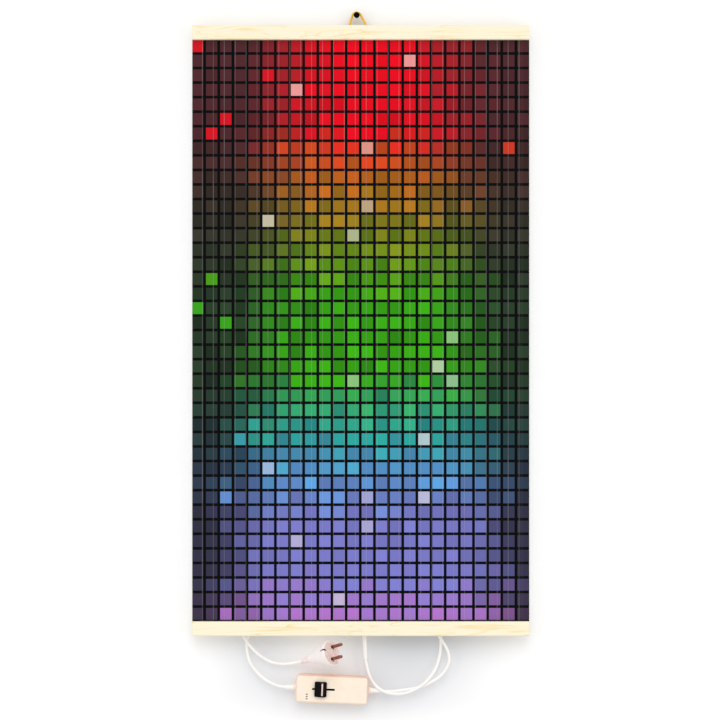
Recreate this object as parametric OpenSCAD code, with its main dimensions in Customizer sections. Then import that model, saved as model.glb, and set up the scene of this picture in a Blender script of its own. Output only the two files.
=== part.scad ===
// Wall-hung film heater: a printed heating sheet held between wooden laths, hung by a
// cord loop from a peg, with a mains lead, an in-line slide controller and a two-pin plug.
// Millimetres. +Z is up, +Y goes into the wall, and the viewer looks along +Y.
// The origin is where the peg's axis meets the wall.

/* [Panel] */
// Width of the printed sheet
sheet_w = 500; // [450:1:700]
// Height over both pairs of laths
panel_h = 905; // [500:1:1200]
// Distance from the peg's axis down to the top of the laths
hang_drop = 16.4; // [14:0.1:40]
// How far the panel's middle sits to the right of the peg
panel_shift = 6; // [-6:0.5:6]
// Room between the back of the laths and the wall
wall_gap = 12; // [12:0.5:20]
// Thickness of the printed front film
film_t = 0.8; // [0.6:0.05:1.5]
// Thickness of the back film
back_film_t = 0.4; // [0.3:0.05:1]
// How far the film's edge stays inside the outer edge of the laths
film_inset = 2; // [1:0.1:3]

/* [Laths] */
// Height of every lath
lath_h = 21.5; // [21:0.5:35]
// Thickness of the front laths
front_lath_t = 10; // [8.5:0.5:16]
// Thickness of the rear laths
rear_lath_t = 5; // [4.5:0.5:7]
// How far the film's side edge stands past the lath's end
lath_end_inset = 0.6; // [0:0.1:5]
// Rounding of the front lath's two front edges
lath_round = 2; // [0.5:0.1:3]
// Rounding of the rear lath's two back edges
rear_round = 1; // [0.3:0.1:1.5]
// Depth of the rebate that lets the ridges run in under a front lath
rebate_d = 0.9; // [0.7:0.05:1.5]
// Height of that rebate
rebate_h = 9; // [6:0.5:12]
// Screws in each pair of laths
screw_count = 6; // [4:2:10]
// Distance of the outer screws from the lath's end
screw_end = 22; // [12:1:40]
// Distance of the screws from the lath's outer edge
screw_edge = 5; // [4.5:0.1:6]
// Radius of a lath screw's shank
screw_r = 1.4; // [1:0.05:1.75]
// Radius of a lath screw's head
screw_head_r = 3; // [2.5:0.1:3.5]
// Height of a lath screw's countersunk head
screw_head_h = 1.8; // [1.2:0.1:2.4]
// Length of a lath screw
screw_l = 13.5; // [10:0.5:14]

/* [Heating thread] */
// Number of straight runs, always even
run_count = 30; // [26:2:32]
// Least distance of the outer runs from the sheet's side edge, to the nearest few millimetres
run_margin = 15; // [10:0.5:30]
// Width of the thread
thread_w = 1.2; // [0.8:0.1:2]
// Thickness of the thread
thread_t = 0.4; // [0.2:0.05:0.45]
// Width of the ridge that a run raises on the front
ridge_w = 2.4; // [1.6:0.1:4]
// Height of that ridge
ridge_h = 0.55; // [0.3:0.05:0.65]
// How far a ridge runs in under each front lath
ridge_run_in = 4; // [1:0.5:5]
// Drop from the runs' lower end to the two tails
tail_drop = 12; // [10:0.5:13]
// Half the distance between the two tails where they rise to the terminals
tail_half = 3.5; // [3:0.1:4.5]
// Height of the terminals above the lower laths
tail_rise = 14; // [10:0.5:20]

/* [Hanging loop] */
// Thickness of the hanging cord
hang_cord_d = 3.5; // [2.5:0.1:4.5]
// Where the left leg crosses the top of the laths
hang_left = 10.6; // [8:0.1:14]
// Where the right leg crosses the top of the laths
hang_right = 14.8; // [8:0.1:18]
// Length of each leg below the top of the laths
hang_tail = 15; // [13:0.5:18]
// Radius of the loop's bend over the peg, on the cord's middle line
loop_r = 6.8; // [5:0.1:8]
// Radius of the peg's neck
peg_neck_r = 2.2; // [2:0.1:3]
// Radius of the peg's head
peg_head_r = 4.4; // [3:0.05:6]
// Thickness of the peg's head
peg_head_t = 4.2; // [3:0.1:6]
// Radius of the peg's flange on the wall
peg_flange_r = 2.6; // [2.6:0.1:7]
// Thickness of that flange
peg_flange_t = 1.5; // [1:0.1:3]
// Radius of the nail
nail_r = 1.25; // [0.8:0.05:1.5]
// Length of the nail's round shank in the wall
nail_in_wall = 19; // [12:0.5:30]
// Length of the nail's point
nail_point = 3; // [2:0.1:5]
// Width of a staple's flat wire
staple_wire = 1; // [0.6:0.1:1.4]
// Depth of a staple's legs in the lath
staple_depth = 3.5; // [2:0.1:4]

/* [Lead] */
// Diameter of the mains lead
lead_d = 4.2; // [4:0.1:5]
// Clearance of the lead in the bores that it passes
lead_clear = 0.2; // [0.1:0.05:0.4]
// Room between neighbouring turns of a coil
coil_gap = 0.6; // [0.5:0.05:1]
// Inner turn radius of the heater lead's coil
heater_coil_r = 23; // [20:0.5:26]
// Full turns of the heater lead's coil
heater_coil_turns = 2; // [1:1:3]
// Inner turn radius of the mains lead's coil
mains_coil_r = 20.5; // [19:0.5:24]
// Full turns of the mains lead's coil
mains_coil_turns = 4; // [2:1:5]
// Width of a coil's tie
tie_w = 6; // [4:0.5:10]
// Thickness of a coil's tie
tie_t = 0.7; // [0.5:0.1:1]
// Clearance of a tie round the turns
tie_clear = 0.3; // [0.2:0.05:0.5]

/* [Junction] */
// Width of the junction cap on the back of the film
cap_w = 46; // [36:1:70]
// Height of the junction cap
cap_h = 30; // [26:1:50]
// Room between the junction cap and the wall
cap_gap = 3; // [2:0.1:3]
// Wall of the junction cap
cap_wall = 1.6; // [1.2:0.1:2.2]
// Length of the sleeve below the cap
sleeve_l = 58; // [30:1:60]
// Radius of the sleeve at the cap
sleeve_r = 3.3; // [3:0.05:3.3]
// Radius of the sleeve at its lower end
sleeve_tip_r = 2.9; // [2.75:0.05:3.2]

/* [Controller] */
// Length of the controller
ctrl_l = 108; // [106:1:140]
// Height of the controller
ctrl_h = 42; // [40:0.5:56]
// Thickness of the controller
ctrl_t = 22; // [21:0.5:30]
// Corner radius of the controller's outline
ctrl_corner = 10; // [4:0.5:11]
// Rounding of the controller's front edge
ctrl_round = 3.5; // [1:0.1:3.5]
// Rounding of the controller's back edge
ctrl_back_round = 1.2; // [0.5:0.1:2]
// Wall of the controller's shells
ctrl_wall = 2.2; // [1.6:0.1:2.6]
// Height of the joint between the shells, which is also the lead's axis
split_z = 9; // [8.8:0.1:11]
// Tilt of the controller, right end down
ctrl_tilt = 2.3; // [0:0.1:10]
// Length of the slider's slot
slot_l = 34; // [24:0.5:38]
// Width of the slider's slot
slot_w = 3; // [2:0.1:4]
// Middle of the slot, from the controller's middle
slot_x = -12.6; // [-16:0.1:-12.6]
// Place of the knob at rest, from the controller's middle
knob_rest = -16.8; // [-24:0.1:-6]
// Length of the knob along the slot
knob_l = 18; // [12:0.5:24]
// Width of the knob across the slot
knob_w = 22.6; // [14:0.2:28]
// Height of the knob
knob_t = 6.2; // [6:0.2:10]
// Place of the knob's crest, from its middle
crest_x = 2.4; // [-3:0.1:3]
// Width of the light index line on the crest
index_w = 2.2; // [1:0.1:3]
// Length of the slider's lever along the slot
lever_l = 4; // [3:0.1:6]
// Thickness of the slider's lever
lever_t = 1.6; // [1:0.1:1.8]

/* [Plug] */
// Diameter of the plug's face
plug_d = 38; // [34:0.5:42]
// Length from the lead's entry to the face
plug_l = 58; // [48:0.5:65]
// Length of the ribbed strain relief
relief_l = 15; // [13:0.5:20]
// Radius of each pin
pin_r = 2.4; // [2:0.05:2.4]
// Length of each pin from the face
pin_l = 19; // [15:0.5:19]
// Distance between the pins' axes
pin_pitch = 19; // [17:0.1:19.5]
// Rise of the plug's axis to the right
plug_rise = 15.5; // [0:0.5:30]
// Turn of the plug's axis towards the viewer
plug_toward = 35; // [0:1:45]
// Roll of the plug about its axis
plug_roll = -21; // [-45:1:45]

/* [Hidden] */
$fn = 64;
// Overlap that a cut reaches past a face
past = 0.5;
// Clearance between rigid pieces that seat on each other
seat_clear = 0.05;
// Clearance where one piece slides or slips into another
slip_clear = 0.15;

// Depth of each layer, towards the viewer
rear_back_y = -wall_gap;
rear_front_y = rear_back_y - rear_lath_t;
film_joint_y = rear_front_y - back_film_t;
film_front_y = film_joint_y - film_t;

// Heights of the panel
top_z = -hang_drop;
bot_z = top_z - panel_h;
ledge_z = bot_z + lath_h;
run_top = top_z - lath_h;
run_bottom = ledge_z;
upper_screw_z = top_z - screw_edge;
lower_screw_z = bot_z + screw_edge;

lath_l = sheet_w - 2 * lath_end_inset;
screw_pitch = (lath_l - 2 * screw_end) / (screw_count - 1);
screw_xs = [for (i = [0:screw_count - 1]) panel_shift - lath_l / 2 + screw_end + i * screw_pitch];
screw_hole_r = screw_r + slip_clear;
screw_pilot_r = screw_r + seat_clear;

// Heating thread
// The pitch is kept to a fifth of a millimetre, so that runs and turns meet on the same points
run_pitch = round(5 * (sheet_w - 2 * run_margin) / (run_count - 1)) / 5;
groove_d = thread_t + seat_clear;
pad_r = 2;
rivet_r = 0.9;
barrel_r = 1.9;
barrel_l = 11;
tail_z = run_bottom - tail_drop;
terminal_z = run_bottom + tail_rise;

// Hanging loop
hang_r = hang_cord_d / 2;
hang_y = rear_back_y + hang_r + slip_clear;
// Height of the bend's middle, so that the top of the loop rests on the peg's neck
loop_z = peg_neck_r + hang_r + slip_clear - loop_r;
loop_drop = hang_drop + loop_z;
left_reach = norm([hang_left, loop_drop]);
right_reach = norm([hang_right, loop_drop]);
left_lean = atan2(hang_left, loop_drop) - asin(loop_r / left_reach);
right_lean = atan2(hang_right, loop_drop) - asin(loop_r / right_reach);
// Each leg of the loop: where it crosses the top of the laths, and its turn about Y
hang_legs = [[-hang_left, left_lean], [hang_right, -right_lean]];
staple_span = hang_cord_d + staple_wire + 2 * slip_clear;
staple_crown_y = hang_y + hang_r + slip_clear;
staple_steps = [4, 10];
peg_neck_l = wall_gap + slip_clear;
nail_in_peg = peg_neck_l - 1;
nail_head_r = nail_r + 0.4;

// Lead
lead_r = lead_d / 2;
lead_bore_r = lead_r + lead_clear;
coil_pitch = lead_d + coil_gap;
// Depth of a coil's rear layer, and of the strand that comes up behind it
coil_rear_y = -7.6;
coil_front_y = coil_rear_y - coil_pitch;
strand_in_y = -2.5;
strand_out_y = -8.6;
// Where a coil starts and ends, counter-clockwise from +X as the viewer sees it
coil_start = -45;
coil_end = 225;
// Turns by which the outward spiral is longer than the inward one
spiral_lead = 0.4;
// Inward dip of the half turn that climbs from one layer to the next
climb_dip = 0.9;
// Angle over which the strand joins its layer, and over which it leaves
join_turn = 110;
leave_turn = 100;
coil_rest = 0.2;
tube_sides = 8;
hang_sides = 12;
coil_sides = 6;
loop_rings = 24;
gap_rings = 48;
heater_coil_x = panel_shift + 116.5;
mains_coil_x = panel_shift - 170.5;

// Junction: the cap stands on the lower rear lath's edge, and the sleeve leaves it downwards
cap_x = panel_shift + 4;
cap_z = ledge_z + 1;
cap_round = 3;
cap_t = -rear_front_y - cap_gap;
sleeve_y = rear_back_y + sleeve_r + 2 * slip_clear;
sleeve_lean = 3;
sleeve_flange_r = 3.7;
sleeve_flange_t = 1.5;
sleeve_top = [panel_shift + 4, sleeve_y, cap_z];

// Controller
ctrl_place = [panel_shift - 42.7, -1, bot_z - 80];
lip_t = 1;
lip_h = 1.5;
rear_inset = ctrl_wall + slip_clear + lip_t;
boss_r = 3.2;
boss_x = ctrl_l / 2 - 10;
boss_y = ctrl_h / 2 - 8;
ctrl_screw_r = 1.25;
ctrl_screw_head_r = 2.4;
ctrl_screw_head_t = 1.8;
ctrl_screw_seat = 3;
ctrl_screw_l = 12;
board_l = 76;
board_w = 31;
board_t = 1.6;
board_z = 4.2;
board_top = board_z + board_t;
post_r = 2.2;
post_x = 33;
post_y = 12;
pot_w = 9.5;
pot_t = 7;
pot_end = 5.5;
pot_wall = 1;
pot_l = slot_l + 2 * pot_end;
carriage_l = 7;
carriage_t = 3;
carriage_z = board_top + pot_wall + 0.4;
knob_lift = 0.5;
knob_z = ctrl_t + knob_lift;
knob_corner = 2;
lever_top = knob_z + 2.6;
index_t = 0.6;
index_sink = 0.4;
crest_half = index_w / 2 + 0.6;
// Height of the knob's two side edges, and the hollow of the finger scoops between them and the crest
knob_edge_t = 2.6;
scoop_sag = 1.1;
bush_flange_r = 4.6;
bush_flange_t = 1.6;
bush_neck_r = 3.2;
bush_collar_r = 4.8;
bush_collar_l = 4;
bush_taper_r = 3.7;
bush_taper_l = 12;
bush_tip_r = 2.95;
bush_tip_x = ctrl_l / 2 + bush_collar_l + bush_taper_l;
lead_end_x = ctrl_l / 2 - 8;

// Plug, along its own axis from the lead's entry
plug_r = plug_d / 2;
relief_r = 3.6;
relief_end_r = 5.4;
relief_ribs = 4;
rib_d = 0.9;
rim_l = 4;
cone_l = plug_l - rim_l - relief_l;
rim_round = 1;
notch_w = 2.2;
notch_d = 4.4;
notch_l = 9;
bridge_r = 13.6;
bridge_t = 3;
pin_root = 10;
pin_root_r = pin_r - 0.2;
pin_tip = 1.6;
socket_l = 10;
core_hole_r = 1.1;
core_hole_d = 2;
core_hole_y = 3.1;
core_hole_z = -2.2;
plug_entry = [panel_shift - 88.1, -12, bot_z - 38.9];

// Routes of the free lead, as x from the panel's middle, y, and z from the panel's lower edge
heater_panel_route = [
    [9.5, -9, -48], [14.5, -10.5, -64], [23.5, -13, -76], [34, -15, -83], [44, -15.2, -86],
    [56, -15, -87], [69, -15, -85], [82, -14.7, -79.5], [93.5, -13.3, -72], [103, -10.8, -62.5],
    [110.5, -7.8, -52], [115.5, -5, -39], [118.5, -3.2, -25], [119.3, -2.5, -13],
    [119.5, -2.5, -2], [121, -2.5, 8], [126, -2.5, 18.5]
];
heater_controller_route = [
    [105, -8.3, 15], [111, -7.8, 6.5], [116, -7.5, -1], [121, -7.5, -8.5], [126.5, -7.9, -17.5],
    [130.5, -8.2, -27.5], [131.6, -8.5, -37.5], [128.6, -8.8, -47.5], [120.5, -9, -59], [108, -9, -68.2],
    [94, -9, -75.2], [81.5, -9, -78.8], [65.5, -9, -81.6], [51, -9.3, -83.2], [39, -9.8, -83.7]
];
mains_controller_route = [
    [-122.5, -9.7, -75.5], [-135, -9, -70.5], [-145.5, -8, -64], [-155.5, -6.5, -54.5],
    [-163, -5, -45], [-167.5, -3.8, -34], [-169.5, -3, -23], [-169.8, -2.5, -13.5],
    [-168.5, -2.5, -4], [-165.5, -2.5, 6], [-160, -2.5, 17]
];
mains_plug_route = [
    [-184.5, -8.1, 15.5], [-179, -7.6, 6], [-174, -7.5, -2.5], [-168.5, -7.5, -11.5],
    [-159, -7.5, -22.7], [-148, -7.5, -32.2], [-136, -7.5, -39.2], [-125, -7.5, -42.4],
    [-114, -7.6, -43.2], [-104, -8, -42.4]
];

// Shared shapes

module rounded_rect(l, h, r) {
    square([l - 2 * r, h], center = true);
    square([l, h - 2 * r], center = true);
    for (x = [-1, 1], y = [-1, 1])
        translate([x * (l / 2 - r), y * (h / 2 - r)])
            circle(r);
}

// Draws a flat outline in X and Z, and thickens it from y towards the viewer
module plate_at(y, t) {
    translate([0, y, 0])
        rotate([90, 0, 0])
            linear_extrude(t)
                children();
}

// Draws a profile of depth and height, and runs it along X about the middle
module along_x(l) {
    rotate([90, 0, -90])
        linear_extrude(l, center = true)
            children();
}

// Places children at each screw of a row, with local Z towards the viewer from the rear lath's back
module at_screws(z) {
    for (x = screw_xs)
        translate([x, rear_back_y, z])
            rotate([90, 0, 0])
                children();
}

// Turns a profile of radius and length into a solid along +X
module revolve_x() {
    rotate([0, 90, 0])
        rotate_extrude()
            children();
}

// A box of the given size standing on its own base
module block(l, w, t) {
    translate([-l / 2, -w / 2, 0])
        cube([l, w, t]);
}

// Laths

module front_lath_profile() {
    difference() {
        union() {
            square([front_lath_t - lath_round, lath_h]);
            translate([0, lath_round])
                square([front_lath_t, lath_h - 2 * lath_round]);
            for (y = [lath_round, lath_h - lath_round])
                translate([front_lath_t - lath_round, y])
                    circle(lath_round);
        }
        translate([-past, -past])
            square([past + rebate_d, past + rebate_h]);
    }
}

module rear_lath_profile() {
    translate([rear_round, 0])
        square([rear_lath_t - rear_round, lath_h]);
    translate([0, rear_round])
        square([rear_lath_t, lath_h - 2 * rear_round]);
    for (y = [rear_round, lath_h - rear_round])
        translate([rear_round, y])
            circle(rear_round);
}

module screw_pilots(z) {
    at_screws(z)
        cylinder(h = screw_l + slip_clear, r = screw_pilot_r);
}

module screw_clearances(z) {
    at_screws(z) {
        translate([0, 0, -past])
            cylinder(h = rear_lath_t + back_film_t + film_t + 2 * past, r = screw_hole_r);
        cylinder(h = screw_head_h + slip_clear, r1 = screw_head_r + slip_clear, r2 = screw_hole_r);
    }
}

module lath_screw() {
    tip_l = 2;
    translate([0, 0, slip_clear])
        cylinder(h = screw_head_h, r1 = screw_head_r, r2 = screw_r);
    translate([0, 0, screw_head_h])
        cylinder(h = screw_l - tip_l - screw_head_h, r = screw_r);
    translate([0, 0, screw_l - tip_l])
        cylinder(h = tip_l, r1 = screw_r, r2 = 0.2);
}

module upper_front_lath() {
    color("wheat")
        difference() {
            translate([panel_shift, film_front_y, top_z - lath_h])
                along_x(lath_l)
                    front_lath_profile();
            screw_pilots(upper_screw_z);
        }
}

module lower_front_lath() {
    color("wheat")
        difference() {
            translate([panel_shift, film_front_y, bot_z])
                along_x(lath_l)
                    translate([0, lath_h])
                        mirror([0, 1])
                            front_lath_profile();
            screw_pilots(lower_screw_z);
        }
}

module upper_rear_lath() {
    color("burlywood")
        difference() {
            translate([panel_shift, rear_back_y, top_z - lath_h])
                along_x(lath_l)
                    rear_lath_profile();
            screw_clearances(upper_screw_z);
            at_staples()
                staple_legs(seat_clear);
        }
}

module lower_rear_lath() {
    color("burlywood")
        difference() {
            translate([panel_shift, rear_back_y, bot_z])
                along_x(lath_l)
                    rear_lath_profile();
            screw_clearances(lower_screw_z);
        }
}

module upper_lath_screws() {
    color("goldenrod")
        at_screws(upper_screw_z)
            lath_screw();
}

module lower_lath_screws() {
    color("goldenrod")
        at_screws(lower_screw_z)
            lath_screw();
}

// Films and heating thread

function run_x(i) = panel_shift + (i - (run_count - 1) / 2) * run_pitch;

module sheet_outline() {
    translate([panel_shift - sheet_w / 2, bot_z + film_inset])
        square([sheet_w, panel_h - 2 * film_inset]);
}

// Half ring that joins two runs, with its round side up or down
module thread_turn(x, z, w, up) {
    translate([x, z])
        difference() {
            circle(run_pitch / 2 + w / 2);
            circle(run_pitch / 2 - w / 2);
            translate([-run_pitch, up ? -2 * run_pitch : 0])
                square(2 * run_pitch);
        }
}

// Tail from an outer run along the lower edge to its terminal
module thread_tail(i, side, w) {
    x_out = run_x(i);
    x_in = panel_shift + side * tail_half;
    translate([min(x_out, x_in) - w / 2, tail_z - w / 2])
        square([abs(x_out - x_in) + w, w]);
    translate([x_out - w / 2, tail_z])
        square([w, run_bottom - tail_z]);
    translate([x_in - w / 2, tail_z])
        square([w, terminal_z - tail_z]);
    translate([x_in, terminal_z])
        circle(pad_r + w / 2 - thread_w / 2);
}

module thread_outline(w) {
    for (i = [0:run_count - 1])
        translate([run_x(i) - w / 2, run_bottom])
            square([w, run_top - run_bottom]);
    for (i = [0:2:run_count - 2])
        thread_turn(run_x(i) + run_pitch / 2, run_top, w, true);
    for (i = [1:2:run_count - 3])
        thread_turn(run_x(i) + run_pitch / 2, run_bottom, w, false);
    thread_tail(0, -1, w);
    thread_tail(run_count - 1, 1, w);
}

// One ridge: a flat arc of its own width and height, standing on the front film
module film_ridge(x) {
    arc_r = (ridge_w * ridge_w / 4 + ridge_h * ridge_h) / (2 * ridge_h);
    sink = 0.1;
    translate([x, film_front_y - ridge_h + arc_r, run_bottom - ridge_run_in])
        linear_extrude(run_top - run_bottom + 2 * ridge_run_in)
            intersection() {
                circle(arc_r);
                translate([-ridge_w, -arc_r - past])
                    square([2 * ridge_w, past + ridge_h + sink]);
            }
}

module printed_film() {
    color("mediumpurple")
        difference() {
            union() {
                plate_at(film_joint_y, film_t)
                    sheet_outline();
                for (i = [0:run_count - 1])
                    film_ridge(run_x(i));
            }
            plate_at(film_joint_y + past, groove_d + past)
                thread_outline(thread_w + 2 * seat_clear);
            screw_clearances(upper_screw_z);
            screw_clearances(lower_screw_z);
        }
}

module heating_thread() {
    color("dimgray")
        plate_at(film_joint_y, thread_t)
            thread_outline(thread_w);
}

module back_film() {
    color("whitesmoke")
        difference() {
            plate_at(rear_front_y, back_film_t)
                sheet_outline();
            screw_clearances(upper_screw_z);
            screw_clearances(lower_screw_z);
            for (side = [-1, 1])
                translate([panel_shift + side * tail_half, rear_front_y + past, terminal_z])
                    rotate([90, 0, 0])
                        cylinder(h = back_film_t + 2 * past, r = rivet_r + seat_clear);
        }
}

// Hanging loop, peg and staples

module at_leg(leg) {
    translate([leg[0], 0, top_z])
        rotate([0, leg[1], 0])
            children();
}

module at_staples() {
    for (leg = hang_legs, step = staple_steps)
        at_leg(leg)
            translate([0, 0, -step])
                children();
}

module staple_legs(clear) {
    w = staple_wire + 2 * clear;
    bottom_y = rear_back_y - staple_depth - clear;
    for (side = [-1, 1])
        translate([side * staple_span / 2 - w / 2, bottom_y, -w / 2])
            cube([w, staple_crown_y + staple_wire - bottom_y, w]);
}

module hanging_cord_staples() {
    color("silver")
        at_staples() {
            staple_legs(0);
            translate([-staple_span / 2, staple_crown_y, -staple_wire / 2])
                cube([staple_span, staple_wire, staple_wire]);
        }
}

// Middle line of the loop: up the left leg, over the peg's neck and down the right leg
hang_arc_steps = 10;
function leg_end(leg) =
    [leg[0] - hang_tail * sin(leg[1]), hang_y, top_z - hang_tail * cos(leg[1])];
hang_arc = [for (i = [0:hang_arc_steps])
    let (a = 180 - left_lean + i / hang_arc_steps * (left_lean + right_lean - 180))
    [loop_r * cos(a), hang_y, loop_z + loop_r * sin(a)]];
hang_path = concat([leg_end(hang_legs[0])], hang_arc, [leg_end(hang_legs[1])]);

module hanging_cord() {
    up_left = [sin(left_lean), 0, cos(left_lean)];
    down_right = [sin(right_lean), 0, -cos(right_lean)];
    color("gold")
        tube(hang_path, up_left, down_right, hang_r, hang_sides);
}

module peg_head() {
    dome_r = 2.2 * peg_head_r;
    head_z = peg_neck_l + peg_head_t;
    color("black")
        rotate([90, 0, 0])
            difference() {
                union() {
                    cylinder(h = peg_flange_t, r = peg_flange_r);
                    cylinder(h = peg_neck_l + past, r = peg_neck_r);
                    intersection() {
                        translate([0, 0, peg_neck_l])
                            cylinder(h = peg_head_t, r = peg_head_r);
                        translate([0, 0, head_z - dome_r])
                            sphere(dome_r);
                    }
                }
                translate([0, 0, -past])
                    cylinder(h = nail_in_peg + past, r = nail_head_r + seat_clear);
            }
}

module peg_nail() {
    color("silver")
        rotate([-90, 0, 0]) {
            translate([0, 0, slip_clear - nail_in_peg])
                cylinder(h = nail_in_peg - slip_clear, r = nail_head_r);
            translate([0, 0, -past])
                cylinder(h = nail_in_wall + past, r = nail_r);
            translate([0, 0, nail_in_wall])
                cylinder(h = nail_point, r1 = nail_r, r2 = 0.15);
        }
}

// Junction on the back of the film

module at_sleeve() {
    translate(sleeve_top)
        rotate([0, 180 - sleeve_lean, 0])
            children();
}

module junction_cap() {
    color("white")
        difference() {
            plate_at(rear_front_y + cap_t, cap_t)
                translate([cap_x, cap_z + cap_h / 2])
                    rounded_rect(cap_w, cap_h, cap_round);
            plate_at(rear_front_y + cap_t - cap_wall, cap_t)
                translate([cap_x, cap_z + cap_h / 2])
                    rounded_rect(cap_w - 2 * cap_wall, cap_h - 2 * cap_wall, cap_round - cap_wall);
            at_sleeve()
                translate([0, 0, -2 * cap_wall])
                    cylinder(h = 3 * cap_wall, r = sleeve_r + slip_clear);
        }
}

module lead_sleeve() {
    inside = cap_wall + 2 * slip_clear;
    color("white")
        at_sleeve()
            difference() {
                union() {
                    translate([0, 0, -inside - sleeve_flange_t])
                        cylinder(h = sleeve_flange_t, r = sleeve_flange_r);
                    translate([0, 0, -inside - past])
                        cylinder(h = inside + 2 * past, r = sleeve_r);
                    cylinder(h = sleeve_l, r1 = sleeve_r, r2 = sleeve_tip_r);
                }
                translate([0, 0, -inside - sleeve_flange_t - past])
                    cylinder(h = sleeve_l + inside + sleeve_flange_t + 2 * past, r = lead_bore_r);
            }
}

module thread_terminals() {
    color("peru")
        for (side = [-1, 1])
            translate([panel_shift + side * tail_half, rear_front_y, terminal_z]) {
                rotate([90, 0, 0])
                    translate([0, 0, -barrel_r])
                        cylinder(h = barrel_r + back_film_t, r = rivet_r);
                translate([0, barrel_r, -barrel_l / 2 + pad_r])
                    cylinder(h = barrel_l, r = barrel_r);
            }
}

// Lead: tubes swept along routes, and coils that spiral in, climb a layer and spiral out

function unit(v) = v / norm(v);

function from_panel(p) = [p[0] + panel_shift, p[1], p[2] + bot_z];

function eased(u) = let (c = min(1, max(0, u))) c * c * (3 - 2 * c);

// A coil is [middle x, inner radius, full turns]
heater_coil = [heater_coil_x, heater_coil_r, heater_coil_turns];
mains_coil = [mains_coil_x, mains_coil_r, mains_coil_turns];

function sweep_turns(coil) = coil[2] + (coil_end - coil_start) / 360;
function turns_in(coil) = (sweep_turns(coil) - 0.5 - spiral_lead) / 2;
function turns_out(coil) = turns_in(coil) + spiral_lead;
function coil_z(coil) =
    ledge_z + coil_rest + lead_r + coil[1] + coil_pitch * (turns_out(coil) - 315 / 360);

// Turns of spiral between a place on the coil and its climb, which is half a turn long
function spiral_turns(coil, t) =
    t < turns_in(coil) ? turns_in(coil) - t : max(0, t - turns_in(coil) - 0.5);

function coil_radius(coil, t) =
    let (climb = min(1, max(0, 2 * (t - turns_in(coil)))))
    coil[1] + coil_pitch * spiral_turns(coil, t) - climb_dip * sin(180 * climb);

function coil_depth(coil, t) =
    let (left = sweep_turns(coil) - t)
    strand_in_y
    + (coil_rear_y - strand_in_y) * eased(t * 360 / join_turn)
    + (coil_front_y - coil_rear_y) * eased(2 * (t - turns_in(coil)))
    + (strand_out_y - coil_front_y) * (1 - eased(left * 360 / leave_turn));

// Point of a coil after t turns
function coil_point(coil, t) =
    let (a = coil_start + 360 * t, r = coil_radius(coil, t))
    [coil[0] + r * cos(a), coil_depth(coil, t), coil_z(coil) + r * sin(a)];

// Headings at the two ends, square to the radius
coil_in_heading = [-sin(coil_start), 0, cos(coil_start)];
coil_out_heading = [-sin(coil_end), 0, cos(coil_end)];

// Where the straight ends of a coil meet the free lead, one diameter out
function coil_in(coil) = coil_point(coil, 0) - lead_d * coil_in_heading;
function coil_out(coil) = coil_point(coil, sweep_turns(coil)) + lead_d * coil_out_heading;

function coil_path(coil, per_turn) =
    let (steps = ceil(sweep_turns(coil) * per_turn), step = sweep_turns(coil) / steps)
    concat([coil_in(coil)], [for (i = [0:steps]) coil_point(coil, i * step)], [coil_out(coil)]);

// Least clear distance of a coil to itself, between points at least half a turn apart
function least_gap(path, apart) =
    min([for (i = [0:len(path) - 1 - apart])
        min([for (j = [i + apart:len(path) - 1]) norm(path[i] - path[j])])]) - lead_d;

function headings(path, first, last) =
    [for (i = [0:len(path) - 1])
        i == 0 ? first
        : i == len(path) - 1 ? last
        : unit(unit(path[i + 1] - path[i]) + unit(path[i] - path[i - 1]))];

function ring_points(middle, heading, r, sides) =
    let (across = unit(cross([0, 1, 0], heading)), up = cross(heading, across))
    [for (k = [0:sides - 1])
        middle + r * (cos(360 * k / sides) * across + sin(360 * k / sides) * up)];

module tube(path, first, last, r, sides) {
    dirs = headings(path, first, last);
    ends = len(path) - 1;
    walls = [for (i = [0:ends - 1], k = [0:sides - 1])
        let (a = i * sides + k, b = i * sides + (k + 1) % sides)
        each [[a, a + sides, b], [b, a + sides, b + sides]]];
    first_cap = [for (k = [1:sides - 2]) [0, k, k + 1]];
    last_cap = [for (k = [1:sides - 2]) [ends * sides, ends * sides + k + 1, ends * sides + k]];
    polyhedron(
        points = [for (i = [0:ends]) each ring_points(path[i], dirs[i], r, sides)],
        faces = concat(walls, first_cap, last_cap)
    );
}

module coil_tube(coil) {
    tube(coil_path(coil, loop_rings), coil_in_heading, coil_out_heading, lead_r, coil_sides);
}

// Band round all the turns at the top of a coil
module coil_tie(coil) {
    sag = tie_w * tie_w / (8 * coil[1]);
    low = min([for (n = [0:coil[2]]) coil_radius(coil, n + 135 / 360)]) - lead_r - tie_clear - sag;
    high = max([for (n = [0:coil[2]]) coil_radius(coil, n + 135 / 360)]) + lead_r + tie_clear;
    front = coil_front_y - lead_r - tie_clear;
    back = coil_rear_y + lead_r + tie_clear;
    translate([coil[0], (front + back) / 2, coil_z(coil) + (low + high) / 2])
        along_x(tie_w)
            difference() {
                rounded_rect(back - front + 2 * tie_t, high - low + 2 * tie_t, 1.5 + tie_t);
                rounded_rect(back - front, high - low, 1.5);
            }
}

// Points on the axes of the sleeve, of the controller's bushes and of the plug
sleeve_heading = [sin(sleeve_lean), 0, -cos(sleeve_lean)];
function sleeve_point(l) = sleeve_top + l * sleeve_heading;
ctrl_heading = [cos(ctrl_tilt), 0, -sin(ctrl_tilt)];
function ctrl_axis_point(x) = ctrl_place + [0, -split_z, 0] + x * ctrl_heading;
plug_heading = [
    cos(plug_rise) * cos(plug_toward), -cos(plug_rise) * sin(plug_toward), sin(plug_rise)
];
function plug_axis_point(x) = plug_entry + x * plug_heading;

module heater_lead_panel_side() {
    path = concat(
        [sleeve_point(-cap_wall - 5), sleeve_point(sleeve_l)],
        [for (p = heater_panel_route) from_panel(p)],
        [coil_in(heater_coil)]
    );
    color("white")
        tube(path, sleeve_heading, coil_in_heading, lead_r, tube_sides);
}

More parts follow.
